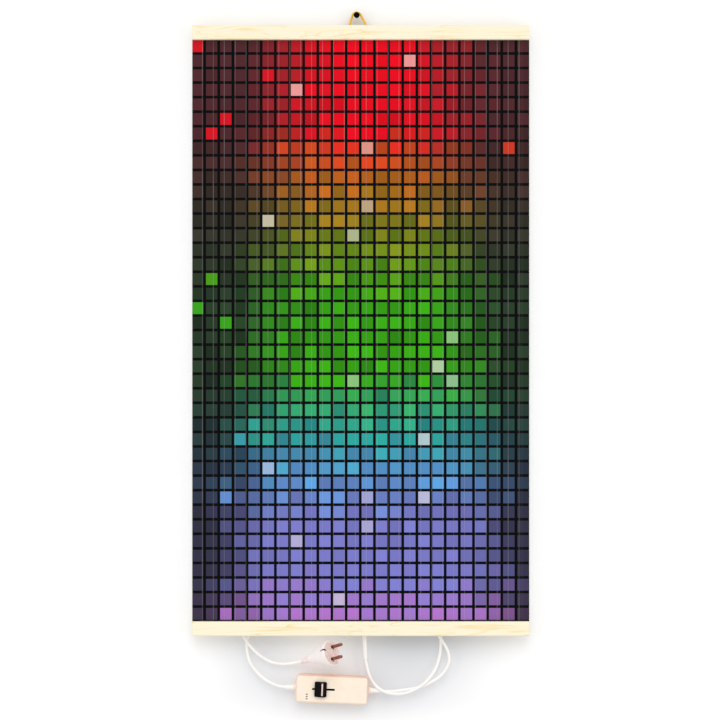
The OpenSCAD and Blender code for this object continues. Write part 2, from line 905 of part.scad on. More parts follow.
module heater_lead_coil() {
    color("white")
        coil_tube(heater_coil);
}

module heater_lead_controller_side() {
    path = concat(
        [coil_out(heater_coil)],
        [for (p = heater_controller_route) from_panel(p)],
        [ctrl_axis_point(bush_tip_x), ctrl_axis_point(lead_end_x)]
    );
    color("white")
        tube(path, coil_out_heading, -ctrl_heading, lead_r, tube_sides);
}

module heater_coil_tie() {
    color("silver")
        coil_tie(heater_coil);
}

module mains_lead_controller_side() {
    path = concat(
        [ctrl_axis_point(-lead_end_x), ctrl_axis_point(-bush_tip_x)],
        [for (p = mains_controller_route) from_panel(p)],
        [coil_in(mains_coil)]
    );
    color("white")
        tube(path, -ctrl_heading, coil_in_heading, lead_r, tube_sides);
}

module mains_lead_coil() {
    color("white")
        coil_tube(mains_coil);
}

module mains_lead_plug_side() {
    path = concat(
        [coil_out(mains_coil)],
        [for (p = mains_plug_route) from_panel(p)],
        [plug_axis_point(-7), plug_axis_point(0), plug_axis_point(socket_l - slip_clear)]
    );
    color("white")
        tube(path, coil_out_heading, plug_heading, lead_r, tube_sides);
}

module mains_coil_tie() {
    color("silver")
        coil_tie(mains_coil);
}

// Controller, in its own frame: X along it, Y up, Z towards the viewer from its back

module at_controller() {
    translate(ctrl_place)
        rotate([90, 0, 0])
            rotate([0, 0, -ctrl_tilt])
                children();
}

// Side outline of the controller, rounded more in front than behind
module ctrl_side_outline(l) {
    half = l / 2;
    translate([-half, ctrl_back_round])
        square([l, ctrl_t - ctrl_round - ctrl_back_round]);
    translate([-half + ctrl_back_round, 0])
        square([l - 2 * ctrl_back_round, ctrl_t / 2]);
    translate([-half + ctrl_round, ctrl_t / 2])
        square([l - 2 * ctrl_round, ctrl_t / 2]);
    for (side = [-1, 1]) {
        translate([side * (half - ctrl_back_round), ctrl_back_round])
            circle(ctrl_back_round);
        translate([side * (half - ctrl_round), ctrl_t - ctrl_round])
            circle(ctrl_round);
    }
}

module ctrl_block() {
    intersection() {
        translate([0, 0, -past])
            linear_extrude(ctrl_t + 2 * past)
                rounded_rect(ctrl_l, ctrl_h, ctrl_corner);
        rotate([90, 0, 0])
            linear_extrude(ctrl_h + 2 * past, center = true)
                ctrl_side_outline(ctrl_l);
        rotate([90, 0, 90])
            linear_extrude(ctrl_l + 2 * past, center = true)
                ctrl_side_outline(ctrl_h);
    }
}

module inset_outline(inset) {
    rounded_rect(ctrl_l - 2 * inset, ctrl_h - 2 * inset, max(1, ctrl_corner - inset));
}

module at_bosses() {
    for (x = [-1, 1], y = [-1, 1])
        translate([x * boss_x, y * boss_y, 0])
            children();
}

// Holes for the two bushes, along the joint between the shells
module bush_holes() {
    translate([0, 0, split_z])
        rotate([0, 90, 0])
            cylinder(h = ctrl_l + 2 * past, r = bush_neck_r + slip_clear, center = true);
}

module slot_outline(grow) {
    rounded_rect(slot_l + 2 * grow, slot_w + 2 * grow, slot_w / 2 + grow - 0.01);
}

module controller_front_shell() {
    color("antiquewhite")
        at_controller()
            difference() {
                union() {
                    difference() {
                        intersection() {
                            ctrl_block();
                            translate([0, 0, split_z])
                                block(ctrl_l + 2 * past, ctrl_h + 2 * past, ctrl_t);
                        }
                        translate([0, 0, split_z - past])
                            linear_extrude(ctrl_t - ctrl_wall - split_z + past)
                                inset_outline(ctrl_wall);
                    }
                    at_bosses()
                        translate([0, 0, split_z])
                            cylinder(h = ctrl_t - ctrl_wall - split_z + past, r = boss_r);
                }
                translate([slot_x, 0, split_z])
                    linear_extrude(ctrl_t)
                        slot_outline(0);
                bush_holes();
                at_bosses()
                    translate([0, 0, split_z - past])
                        cylinder(
                            h = ctrl_screw_seat + ctrl_screw_l + slip_clear - split_z + past,
                            r = ctrl_screw_r + seat_clear
                        );
            }
}

module controller_rear_shell() {
    color("bisque")
        at_controller()
            difference() {
                union() {
                    difference() {
                        union() {
                            intersection() {
                                ctrl_block();
                                block(ctrl_l + 2 * past, ctrl_h + 2 * past, split_z);
                            }
                            translate([0, 0, split_z - past])
                                linear_extrude(lip_h + past)
                                    inset_outline(ctrl_wall + slip_clear);
                        }
                        translate([0, 0, ctrl_wall])
                            linear_extrude(split_z + lip_h)
                                inset_outline(rear_inset);
                    }
                    at_bosses()
                        cylinder(h = split_z, r = boss_r + ctrl_wall / 2);
                    for (x = [-1, 1], y = [-1, 1])
                        translate([x * post_x, y * post_y, ctrl_wall - past])
                            cylinder(h = board_z - ctrl_wall + past, r = post_r);
                }
                bush_holes();
                at_bosses() {
                    translate([0, 0, -past])
                        cylinder(h = ctrl_screw_seat + past, r = ctrl_screw_head_r + slip_clear);
                    cylinder(h = split_z + past, r = ctrl_screw_r + slip_clear);
                }
            }
}

module controller_screws() {
    color("silver")
        at_controller()
            at_bosses() {
                translate([0, 0, ctrl_screw_seat - ctrl_screw_head_t])
                    cylinder(h = ctrl_screw_head_t, r = ctrl_screw_head_r);
                translate([0, 0, ctrl_screw_seat - past])
                    cylinder(h = ctrl_screw_l + past, r = ctrl_screw_r);
            }
}

// Bush that holds the lead at one end: inner flange, neck, collar and taper
module lead_bush() {
    flange_x = ctrl_l / 2 - rear_inset - bush_flange_t - slip_clear;
    end_x = ctrl_l / 2 + slip_clear;
    translate([0, 0, split_z])
        rotate([0, 90, 0])
            difference() {
                union() {
                    translate([0, 0, flange_x])
                        cylinder(h = bush_flange_t, r = bush_flange_r);
                    translate([0, 0, flange_x])
                        cylinder(h = end_x - flange_x + past, r = bush_neck_r);
                    translate([0, 0, end_x])
                        cylinder(h = bush_collar_l, r = bush_collar_r);
                    translate([0, 0, end_x + bush_collar_l - past])
                        cylinder(h = bush_tip_x - end_x - bush_collar_l + past,
                            r1 = bush_taper_r, r2 = bush_tip_r);
                }
                translate([0, 0, flange_x - past])
                    cylinder(h = bush_tip_x - flange_x + 2 * past, r = lead_bore_r);
            }
}

module outlet_bush() {
    color("white")
        at_controller()
            lead_bush();
}

module inlet_bush() {
    color("white")
        at_controller()
            mirror([1, 0, 0])
                lead_bush();
}

module controller_board() {
    color("darkgreen")
        at_controller()
            translate([0, 0, board_z])
                linear_extrude(board_t)
                    rounded_rect(board_l, board_w, 1.5);
}

module slide_pot_body() {
    color("gray")
        at_controller()
            translate([slot_x, 0, board_top])
                difference() {
                    block(pot_l, pot_w, pot_t);
                    translate([0, 0, pot_wall])
                        block(pot_l - 2 * pot_wall, pot_w - 2 * pot_wall, pot_t - 2 * pot_wall);
                    translate([0, 0, pot_t / 2])
                        linear_extrude(pot_t)
                            slot_outline(seat_clear);
                }
}

module slider_wiper() {
    color("dimgray")
        at_controller()
            translate([knob_rest, 0, carriage_z]) {
                block(carriage_l, pot_w - 2 * pot_wall - 2 * slip_clear, carriage_t);
                block(lever_l, lever_t, lever_top - carriage_z);
            }
}

// Cylinder that hollows the knob between one side edge and the near edge of its crest
module finger_scoop(side) {
    low = [side * knob_l / 2, knob_edge_t];
    high = [crest_x + side * crest_half, knob_t];
    chord = high - low;
    l = norm(chord);
    r = (l * l / 4 + scoop_sag * scoop_sag) / (2 * scoop_sag);
    up = side * [chord[1], -chord[0]] / l;
    middle = (low + high) / 2 + (r - scoop_sag) * up;
    translate([middle[0], 0, middle[1]])
        rotate([90, 0, 0])
            cylinder(h = knob_w + 2 * past, r = r, center = true);
}

// Thumb knob: a block scooped on both sides of its crest
module knob_block() {
    difference() {
        linear_extrude(knob_t)
            rounded_rect(knob_l, knob_w, knob_corner);
        finger_scoop(-1);
        finger_scoop(1);
    }
}

module slider_knob() {
    color("black")
        at_controller()
            translate([knob_rest, 0, knob_z])
                difference() {
                    knob_block();
                    translate([crest_x, 0, knob_t - index_sink])
                        block(index_w + 2 * seat_clear, knob_w + 2 * past, index_t);
                    translate([0, 0, -past])
                        block(lever_l + 2 * seat_clear, lever_t + 2 * seat_clear,
                            lever_top - knob_z + seat_clear + past);
                }
}

module knob_index() {
    color("seashell")
        at_controller()
            translate([knob_rest + crest_x, 0, knob_z + knob_t - index_sink])
                block(index_w, knob_w - 0.4, index_t);
}

// Pieces on the controller's board

module on_board(x, y) {
    at_controller()
        translate([x, y, board_top])
            children();
}

module capacitor() {
    color("firebrick")
        on_board(20, -10.5)
            linear_extrude(11)
                rounded_rect(16, 6, 1.5);
}

module choke() {
    color("darkorange")
        on_board(18, 9)
            rotate_extrude()
                union() {
                    translate([1.5, 0])
                        square([4, 1]);
                    translate([1.5, 8])
                        square([4, 1]);
                    translate([1.5, 0])
                        square([2.8, 9]);
                }
}

module heat_sink() {
    color("lightgray")
        on_board(33, 4)
            union() {
                block(1.6, 18, 12);
                for (y = [-7, 0, 7])
                    translate([2.3, y, 0])
                        block(4, 1.4, 12);
            }
}

module triac() {
    body_x = 33 - 0.8 - 2.25;
    color("black")
        on_board(body_x, 4)
            union() {
                translate([0, 0, 2.5])
                    block(4.5, 10, 9);
                for (y = [-2.5, 0, 2.5])
                    translate([0, y, 0])
                        block(0.6, 0.9, 3);
            }
}

module fuse() {
    color("lightcyan")
        on_board(-20, 10.5)
            union() {
                translate([0, 0, 3.2])
                    rotate([0, 90, 0])
                        cylinder(h = 20, r = 2.6, center = true);
                for (x = [-8, 8])
                    translate([x, 0, 0])
                        block(3, 4, 3);
            }
}

module terminal_blocks() {
    color("mediumseagreen")
        for (x = [-33.5, 33.5])
            on_board(x, -10.5)
                difference() {
                    block(7.5, 9, 8.5);
                    for (y = [-2.2, 2.2])
                        translate([0, y, 4]) {
                            cylinder(h = 6, r = 1.4);
                            rotate([0, 90, 0])
                                cylinder(h = 20, r = 1.2, center = true);
                        }
                }
}

// Plug, in its own frame: X along its axis from the lead's entry, pins apart in Z

module at_plug() {
    translate(plug_entry)
        rotate([plug_roll, -plug_rise, -plug_toward])
            children();
}

// Radius and length of the moulding's outline, from the lead's entry to the face
module plug_profile() {
    rib_pitch = relief_l / relief_ribs;
    cone_end = relief_l + cone_l;
    flare = 12;
    swell = [for (i = [0:flare])
        let (u = i / flare)
        [relief_end_r + (plug_r - relief_end_r) * u * (0.88 + 0.12 * u), relief_l + cone_l * u]];
    rim = [for (a = [0:15:90])
        [plug_r - rim_round + rim_round * cos(a), plug_l - rim_round + rim_round * sin(a)]];
    ribs = [for (i = [0:relief_ribs - 1])
        let (r = relief_r + (relief_end_r - relief_r) * i / relief_ribs, z = i * rib_pitch)
        each [[r, z], [r, z + 0.5 * rib_pitch], [r - rib_d, z + 0.55 * rib_pitch],
            [r - rib_d, z + 0.95 * rib_pitch]]];
    polygon(concat([[0, 0]], ribs, swell, [[plug_r, cone_end + 1]], rim, [[0, plug_l]]));
}

module plug_pin_places() {
    for (side = [-1, 1])
        translate([plug_l, 0, side * pin_pitch / 2])
            children();
}

module plug_body() {
    color("white")
        at_plug()
            difference() {
                revolve_x()
                    plug_profile();
                translate([plug_l - bridge_t, 0, 0])
                    rotate([0, 90, 0])
                        cylinder(h = bridge_t + past, r = bridge_r + slip_clear);
                plug_pin_places()
                    rotate([0, -90, 0])
                        cylinder(h = pin_root + slip_clear, r = pin_root_r + seat_clear);
                for (side = [-1, 1])
                    translate([plug_l - notch_l, side * (plug_r - notch_d / 2 + past), -notch_w / 2])
                        translate([0, -notch_d / 2 - past, 0])
                            cube([notch_l + past, notch_d + 2 * past, notch_w]);
                translate([-past, 0, 0])
                    rotate([0, 90, 0])
                        cylinder(h = socket_l + past, r = lead_bore_r);
            }
}

module plug_bridge() {
    color("seashell")
        at_plug()
            difference() {
                translate([plug_l - bridge_t, 0, 0])
                    rotate([0, 90, 0])
                        cylinder(h = bridge_t, r = bridge_r);
                plug_pin_places()
                    rotate([0, -90, 0])
                        translate([0, 0, -past])
                            cylinder(h = bridge_t + 2 * past, r = pin_root_r + seat_clear);
                for (side = [-1, 1])
                    translate([plug_l - core_hole_d, core_hole_y, side * pin_pitch / 2 + core_hole_z])
                        rotate([0, 90, 0])
                            cylinder(h = core_hole_d + past, r = core_hole_r);
            }
}

module plug_pins() {
    color("rosybrown")
        at_plug()
            plug_pin_places()
                rotate([0, 90, 0]) {
                    translate([0, 0, -pin_root])
                        cylinder(h = pin_root + past, r = pin_root_r);
                    cylinder(h = pin_l - pin_tip, r = pin_r);
                    translate([0, 0, pin_l - pin_tip])
                        cylinder(h = pin_tip, r1 = pin_r, r2 = pin_r - 1.1);
                }
}

echo(heater_coil_least_gap = least_gap(coil_path(heater_coil, gap_rings), gap_rings / 2));
echo(mains_coil_least_gap = least_gap(coil_path(mains_coil, gap_rings), gap_rings / 2));

upper_front_lath();
upper_rear_lath();
lower_front_lath();
lower_rear_lath();
printed_film();
heating_thread();
back_film();
upper_lath_screws();
lower_lath_screws();
hanging_cord();
hanging_cord_staples();
peg_head();
peg_nail();
junction_cap();
thread_terminals();
lead_sleeve();
heater_lead_panel_side();
heater_lead_coil();
heater_lead_controller_side();
heater_coil_tie();
mains_lead_controller_side();
mains_lead_coil();
mains_lead_plug_side();
mains_coil_tie();
controller_front_shell();
controller_rear_shell();
controller_screws();
inlet_bush();
outlet_bush();
controller_board();
slide_pot_body();
slider_wiper();
slider_knob();
knob_index();
triac();
heat_sink();
capacitor();
choke();
fuse();
terminal_blocks();
plug_body();
plug_bridge();
plug_pins();
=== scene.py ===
"""Looks of the wall-hung film heater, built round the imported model.

Metres, in the model's own frame: +Z is up, +Y goes into the wall, and the viewer looks along +Y.
The origin is where the peg's axis meets the wall.
"""
import math
import random

import bpy
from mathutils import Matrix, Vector


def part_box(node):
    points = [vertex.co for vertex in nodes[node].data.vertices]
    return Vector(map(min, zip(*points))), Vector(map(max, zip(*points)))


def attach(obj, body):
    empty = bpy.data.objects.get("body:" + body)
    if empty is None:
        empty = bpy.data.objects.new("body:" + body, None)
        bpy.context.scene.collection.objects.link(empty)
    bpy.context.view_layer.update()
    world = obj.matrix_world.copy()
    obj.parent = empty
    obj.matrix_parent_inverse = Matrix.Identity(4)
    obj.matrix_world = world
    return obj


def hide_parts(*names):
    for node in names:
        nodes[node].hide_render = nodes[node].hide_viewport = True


MM = 0.001

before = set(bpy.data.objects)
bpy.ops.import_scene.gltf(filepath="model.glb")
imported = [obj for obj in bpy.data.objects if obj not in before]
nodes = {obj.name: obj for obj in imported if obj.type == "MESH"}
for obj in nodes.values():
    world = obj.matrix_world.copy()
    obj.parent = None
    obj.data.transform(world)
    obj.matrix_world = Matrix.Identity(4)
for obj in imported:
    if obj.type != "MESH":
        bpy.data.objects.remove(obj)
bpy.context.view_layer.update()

# Places read from the frame
film_low, film_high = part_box("back_film")
PANEL_X = (film_low.x + film_high.x) / 2
PANEL_W = film_high.x - film_low.x
FILM_BOTTOM, FILM_TOP = film_low.z, film_high.z
FILM_BACK_Y, FILM_JOINT_Y = film_high.y, film_low.y
FILM_FRONT_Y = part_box("upper_front_lath")[1].y
PANEL_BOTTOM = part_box("lower_front_lath")[0].z
LEDGE_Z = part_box("lower_rear_lath")[1].z
UPPER_EDGE_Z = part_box("upper_front_lath")[0].z
LATH_BACK_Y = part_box("lower_rear_lath")[1].y


# Camera: square on to the panel, with the film's plane at the photograph's scale

PIXEL = 1.484 * MM
IMAGE_W = 720
LENS_MM = 150
SENSOR_MM = 36
VIEW_X = 4.9 * MM
VIEW_Z = -512.5 * MM


def make_camera():
    data = bpy.data.cameras.new("camera")
    data.lens = LENS_MM
    data.sensor_width = SENSOR_MM
    camera = bpy.data.objects.new("camera", data)
    bpy.context.scene.collection.objects.link(camera)
    distance = IMAGE_W * PIXEL * LENS_MM / SENSOR_MM
    camera.location = (VIEW_X, FILM_FRONT_Y - distance, VIEW_Z)
    camera.rotation_euler = (math.radians(90), 0, 0)
    bpy.context.scene.camera = camera


make_camera()


# Shared mesh helpers


def mesh_object(name, points, faces, smooth=True):
    data = bpy.data.meshes.new(name)
    data.from_pydata([tuple(p) for p in points], [], faces)
    data.validate()
    if smooth:
        data.polygons.foreach_set("use_smooth", [True] * len(data.polygons))
    piece = bpy.data.objects.new(name, data)
    bpy.context.scene.collection.objects.link(piece)
    return piece


def headings(path):
    """Unit direction at each point of a path."""
    ahead = [*path[1:], path[-1]]
    behind = [path[0], *path[:-1]]
    return [(a - b).normalized() for a, b in zip(ahead, behind)]


def frames(path):
    """Heading and two square directions at each point, turned as little as possible on the way."""
    dirs = headings(path)
    side = dirs[0].orthogonal().normalized()
    out = []
    for d in dirs:
        side = (side - d * side.dot(d)).normalized()
        out.append((d, side, d.cross(side)))
    return out


def tube_mesh(path, radius, sides, first_index=0):
    """Points and faces of a closed round tube along a path."""
    points, faces = [], []
    for middle, (_, a, b) in zip(path, frames(path)):
        for k in range(sides):
            turn = 2 * math.pi * k / sides
            points.append(middle + radius * (math.cos(turn) * a + math.sin(turn) * b))
    for i in range(len(path) - 1):
        for k in range(sides):
            here = first_index + i * sides
            after = (k + 1) % sides
            faces.append((here + k, here + after, here + sides + after, here + sides + k))
    faces.append(tuple(first_index + k for k in reversed(range(sides))))
    last = first_index + (len(path) - 1) * sides
    faces.append(tuple(last + k for k in range(sides)))
    return points, faces


def smooth_path(points, steps):
    """Curve through all the points, with a number of steps between neighbours."""
    ends = [2 * points[0] - points[1], *points, 2 * points[-1] - points[-2]]
    out = []
    for p0, p1, p2, p3 in zip(ends, ends[1:], ends[2:], ends[3:]):
        k1 = math.sqrt((p1 - p0).length)
        k2 = math.sqrt((p2 - p1).length)
        k3 = math.sqrt((p3 - p2).length)
        m1 = (p2 - p1) + k2 * ((p1 - p0) / k1 - (p2 - p0) / (k1 + k2))
        m2 = (p2 - p1) + k2 * ((p3 - p2) / k3 - (p3 - p1) / (k2 + k3))
        for i in range(steps):
            u = i / steps
            out.append(
                (2 * u**3 - 3 * u**2 + 1) * p1
                + (u**3 - 2 * u**2 + u) * m1
                + (3 * u**2 - 2 * u**3) * p2
                + (u**3 - u**2) * m2
            )
    return [*out, points[-1]]


# The lead, along the routes of the model's source, in millimetres until placed

LEAD_D = 4.2
COIL_GAP = 0.6
COIL_PITCH = LEAD_D + COIL_GAP
COIL_REAR_Y = -7.6
COIL_FRONT_Y = COIL_REAR_Y - COIL_PITCH
STRAND_IN_Y = -2.5
STRAND_OUT_Y = -8.6
# Angles where a coil starts, ends and is lowest
COIL_START = -45
COIL_END = 225
COIL_BOTTOM = -90
# Turns over which a coil climbs from its rear layer to its front one
CLIMB_TURN = 0.5
SPIRAL_LEAD = 0.4
CLIMB_DIP = 0.9
JOIN_TURN = 110
LEAVE_TURN = 100
COIL_REST = 0.2
COIL_STEPS = 40
LEAD_SIDES = 16
ROUTE_STEPS = 6

SLEEVE_X = 4
SLEEVE_L = 58
# Where the lead passes through its sleeve
SLEEVE_PLACES = (12, 30, 46)
SLEEVE_LEAN = 3
CAP_LIFT = 1
SLEEVE_Y = -8.4
LEAD_IN_CAP = 6.6
CTRL_FROM_PANEL = (-42.7, -1, -80)
CTRL_TILT = 2.3
CTRL_SPLIT = 9
BUSH_TIP = 70
BUSH_MIDDLE = 58
LEAD_END = 46
PLUG_FROM_PANEL = (-88.1, -12, -38.9)
PLUG_RISE = 15.5
PLUG_TOWARD = 35
PLUG_ROLL = -21
PLUG_L = 58
PLUG_SOCKET = 9.85

# Route points: x from the panel's middle, y, and z from the panel's lower edge.
# The last two on the way to the plug ease the lead into it.
HEATER_PANEL_ROUTE = [
    (9.5, -9, -48), (14.5, -10.5, -64), (23.5, -13, -76), (34, -15, -83), (44, -15.2, -86),
    (56, -15, -87), (69, -15, -85), (82, -14.7, -79.5), (93.5, -13.3, -72), (103, -10.8, -62.5),
    (110.5, -7.8, -52), (115.5, -5, -39), (118.5, -3.2, -25), (119.3, -2.5, -13),
    (119.5, -2.5, -2), (121, -2.5, 8), (126, -2.5, 18.5),
]
HEATER_CONTROLLER_ROUTE = [
    (105, -8.3, 15), (111, -7.8, 6.5), (116, -7.5, -1), (121, -7.5, -8.5), (126.5, -7.9, -17.5),
    (130.5, -8.2, -27.5), (131.6, -8.5, -37.5), (128.6, -8.8, -47.5), (120.5, -9, -59), (108, -9, -68.2),
    (94, -9, -75.2), (81.5, -9, -78.8), (65.5, -9, -81.6), (51, -9.3, -83.2), (39, -9.8, -83.7),
]
MAINS_CONTROLLER_ROUTE = [
    (-122.5, -9.7, -75.5), (-135, -9, -70.5), (-145.5, -8, -64), (-155.5, -6.5, -54.5),
    (-163, -5, -45), (-167.5, -3.8, -34), (-169.5, -3, -23), (-169.8, -2.5, -13.5),
    (-168.5, -2.5, -4), (-165.5, -2.5, 6), (-160, -2.5, 17),
]
MAINS_PLUG_ROUTE = [
    (-184.5, -8.1, 15.5), (-179, -7.6, 6), (-174, -7.5, -2.5), (-168.5, -7.5, -11.5),
    (-159, -7.5, -22.7), (-148, -7.5, -32.2), (-136, -7.5, -39.2), (-125, -7.5, -42.4),
    (-114, -7.6, -43.2), (-104, -8, -42.4), (-98, -8.3, -41.5), (-93, -9.5, -40.4),
]


def cosd(a):
    return math.cos(math.radians(a))


def sind(a):
    return math.sin(math.radians(a))


def from_panel(p):
    """Place of a route point, in metres."""
    return Vector((PANEL_X + p[0] * MM, p[1] * MM, PANEL_BOTTOM + p[2] * MM))


def route(points):
    return [from_panel(p) for p in points]


def eased(u):
    c = min(1, max(0, u))
    return c * c * (3 - 2 * c)


class Coil:
    """Put-away length of a lead: spirals in, climbs to the front layer and spirals out."""

    def __init__(self, x, inner_r, turns):
        self.x = x
        self.inner_r = inner_r
        self.sweep = turns + (COIL_END - COIL_START) / 360
        self.turns_in = (self.sweep - CLIMB_TURN - SPIRAL_LEAD) / 2
        self.turns_out = self.turns_in + SPIRAL_LEAD
        lowest = inner_r + COIL_PITCH * (self.turns_out - (COIL_END - COIL_BOTTOM) / 360)
        self.z = (LEDGE_Z - PANEL_BOTTOM) / MM + COIL_REST + LEAD_D / 2 + lowest

    def radius(self, t):
        spiral = self.turns_in - t if t < self.turns_in else max(0, t - self.turns_in - CLIMB_TURN)
        climb = min(1, max(0, (t - self.turns_in) / CLIMB_TURN))
        return self.inner_r + COIL_PITCH * spiral - CLIMB_DIP * sind(180 * climb)

    def depth(self, t):
        return (
            STRAND_IN_Y
            + (COIL_REAR_Y - STRAND_IN_Y) * eased(t * 360 / JOIN_TURN)
            + (COIL_FRONT_Y - COIL_REAR_Y) * eased((t - self.turns_in) / CLIMB_TURN)
            + (STRAND_OUT_Y - COIL_FRONT_Y) * (1 - eased((self.sweep - t) * 360 / LEAVE_TURN))
        )

    def point(self, t):
        a = COIL_START + 360 * t
        r = self.radius(t)
        return from_panel((self.x + r * cosd(a), self.depth(t), self.z + r * sind(a)))

    def path(self):
        steps = math.ceil(self.sweep * COIL_STEPS)
        return [self.point(self.sweep * i / steps) for i in range(steps + 1)]


heater_coil = Coil(x=116.5, inner_r=23, turns=2)
mains_coil = Coil(x=-170.5, inner_r=20.5, turns=4)

sleeve_top = Vector((PANEL_X + SLEEVE_X * MM, SLEEVE_Y * MM, LEDGE_Z + CAP_LIFT * MM))
sleeve_heading = Vector((sind(SLEEVE_LEAN), 0, -cosd(SLEEVE_LEAN)))
ctrl_middle = from_panel(CTRL_FROM_PANEL)
ctrl_heading = Vector((cosd(CTRL_TILT), 0, -sind(CTRL_TILT)))
ctrl_up = Vector((sind(CTRL_TILT), 0, cosd(CTRL_TILT)))
lead_axis = ctrl_middle + Vector((0, -CTRL_SPLIT * MM, 0))
plug_entry = from_panel(PLUG_FROM_PANEL)
plug_heading = Vector(
    (cosd(PLUG_RISE) * cosd(PLUG_TOWARD), -cosd(PLUG_RISE) * sind(PLUG_TOWARD), sind(PLUG_RISE))
)
level_side = Vector((sind(PLUG_TOWARD), cosd(PLUG_TOWARD), 0))
level_up = plug_heading.cross(level_side)
plug_side = cosd(PLUG_ROLL) * level_side + sind(PLUG_ROLL) * level_up
plug_up = cosd(PLUG_ROLL) * level_up - sind(PLUG_ROLL) * level_side


def along(start, heading, places):
    """Points on a straight axis, at places in millimetres."""
    return [start + heading * (p * MM) for p in places]


def lead_path(before, coil, after):
    way_in = smooth_path([*before, coil.point(0)], ROUTE_STEPS)
    way_out = smooth_path([coil.point(coil.sweep), *after], ROUTE_STEPS)
    return way_in[:-1] + coil.path() + way_out[1:]


def make_lead(name, path, cad_nodes):
    points, faces = tube_mesh(path, LEAD_D / 2 * MM, LEAD_SIDES)
    lead = mesh_object(name, points, faces)
    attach(lead, "panel")
    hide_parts(*cad_nodes)
    return lead


heater_path = lead_path(
    along(sleeve_top, sleeve_heading, (-LEAD_IN_CAP, *SLEEVE_PLACES, SLEEVE_L))
    + route(HEATER_PANEL_ROUTE),
    heater_coil,
    route(HEATER_CONTROLLER_ROUTE) + along(lead_axis, ctrl_heading, (BUSH_TIP, BUSH_MIDDLE, LEAD_END)),
)
mains_path = lead_path(
    along(lead_axis, ctrl_heading, (-LEAD_END, -BUSH_MIDDLE, -BUSH_TIP)) + route(MAINS_CONTROLLER_ROUTE),
    mains_coil,
    route(MAINS_PLUG_ROUTE) + along(plug_entry, plug_heading, (0, PLUG_SOCKET)),
)

heater_lead = make_lead(
    "heater_lead",
    heater_path,
    ("heater_lead_panel_side", "heater_lead_coil", "heater_lead_controller_side"),
)
mains_lead = make_lead(
    "mains_lead",
    mains_path,
    ("mains_lead_controller_side", "mains_lead_coil", "mains_lead_plug_side"),
)


# Hanging cord: three strands twisted together, along the loop over the peg's neck

HANG_D = 3.5
# The strands reach a little past the model's round cord, because they fill less of its width
STRAND_COUNT = 3
STRAND_OFFSET = 0.88
STRAND_R = 0.96
STRAND_TURN = 8.5
STRAND_SIDES = 10
HANG_LEFT = 10.6
HANG_RIGHT = 14.8
HANG_TAIL = 15
LOOP_R = 6.8
PEG_NECK_R = 2.2
HANG_CLEAR = 0.15
HANG_ARC_STEPS = 24
HANG_LEG_STEPS = 20
HANG_FINE_STEPS = 2

hang_y = LATH_BACK_Y + (HANG_D / 2 + HANG_CLEAR) * MM
hang_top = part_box("upper_rear_lath")[1].z
loop_z = PEG_NECK_R + HANG_D / 2 + HANG_CLEAR - LOOP_R


def hang_leg(x, drop):
    """Lean of one leg from upright, in degrees, from where it crosses the top of the laths."""
    return math.degrees(math.atan2(x, drop) - math.asin(LOOP_R / math.hypot(x, drop)))


def hang_path():
    drop = loop_z - hang_top / MM
    left, right = hang_leg(HANG_LEFT, drop), hang_leg(HANG_RIGHT, drop)
    foot = loop_z - drop
    low_left = Vector((-HANG_LEFT - HANG_TAIL * sind(left), 0, foot - HANG_TAIL * cosd(left)))
    low_right = Vector((HANG_RIGHT + HANG_TAIL * sind(right), 0, foot - HANG_TAIL * cosd(right)))
    arc = []
    for i in range(HANG_ARC_STEPS + 1):
        a = 180 - left + i / HANG_ARC_STEPS * (left + right - 180)
        arc.append(Vector((LOOP_R * cosd(a), 0, loop_z + LOOP_R * sind(a))))
    up = [low_left.lerp(arc[0], i / HANG_LEG_STEPS) for i in range(HANG_LEG_STEPS)]
    down = [arc[-1].lerp(low_right, (i + 1) / HANG_LEG_STEPS) for i in range(HANG_LEG_STEPS)]
    return [Vector((p.x * MM, hang_y, p.z * MM)) for p in (*up, *arc, *down)]


def make_hanging_cord():
    middle = smooth_path(hang_path(), HANG_FINE_STEPS)
    turn_frames = frames(middle)
    points, faces = [], []
    for strand in range(STRAND_COUNT):
        gone = 0
        path = []
        for i, (p, (_, a, b)) in enumerate(zip(middle, turn_frames)):
            gone += (p - middle[i - 1]).length if i else 0
            turn = 360 * (strand / STRAND_COUNT + gone / (STRAND_TURN * MM))
            path.append(p + STRAND_OFFSET * MM * (cosd(turn) * a + sind(turn) * b))
        more, quads = tube_mesh(path, STRAND_R * MM, STRAND_SIDES, len(points))
        points += more
        faces += quads
    cord = mesh_object("gold_hanging_cord", points, faces)
    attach(cord, "panel")
    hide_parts("hanging_cord")
    return cord


gold_cord = make_hanging_cord()


# Film: ridged front sheet and back sheet, both with the same shallow waves

RUN_COUNT = 30
RUN_PITCH = 16.2
RIDGE_W = 2.4
RIDGE_H = 0.55
RIDGE_RUN_IN = 4
RIDGE_R = (RIDGE_W**2 / 4 + RIDGE_H**2) / (2 * RIDGE_H)
RIDGE_STEPS = [-1, -0.8, -0.55, -0.28, 0, 0.28, 0.55, 0.8, 1]
ROW_COUNT = 130
FLAT_STEPS = 3
# Shallow waves: how fast they come in from the laths, and each ripple's rate across and up
WAVE_DEPTH = 0.17
WAVE_HOLD = 10
RIPPLE_SHARE = 0.5
RIPPLES = [(9, 4), (-3, 14)]
# Ridges swell a little along their runs, each in its own phase and pace, and end softly
FILM_SEED = 11
PHASE_RANGE = (0, 6.3)
PACE_RANGE = (0.8, 1.25)
SWELL_SHARE = 0.1
SWELL_RATE = 55
SWELL_BEAT = 23
RIDGE_END = 2

film_random = random.Random(FILM_SEED)
ridge_phase = [
    (film_random.uniform(*PHASE_RANGE), film_random.uniform(*PACE_RANGE)) for _ in range(RUN_COUNT)
]


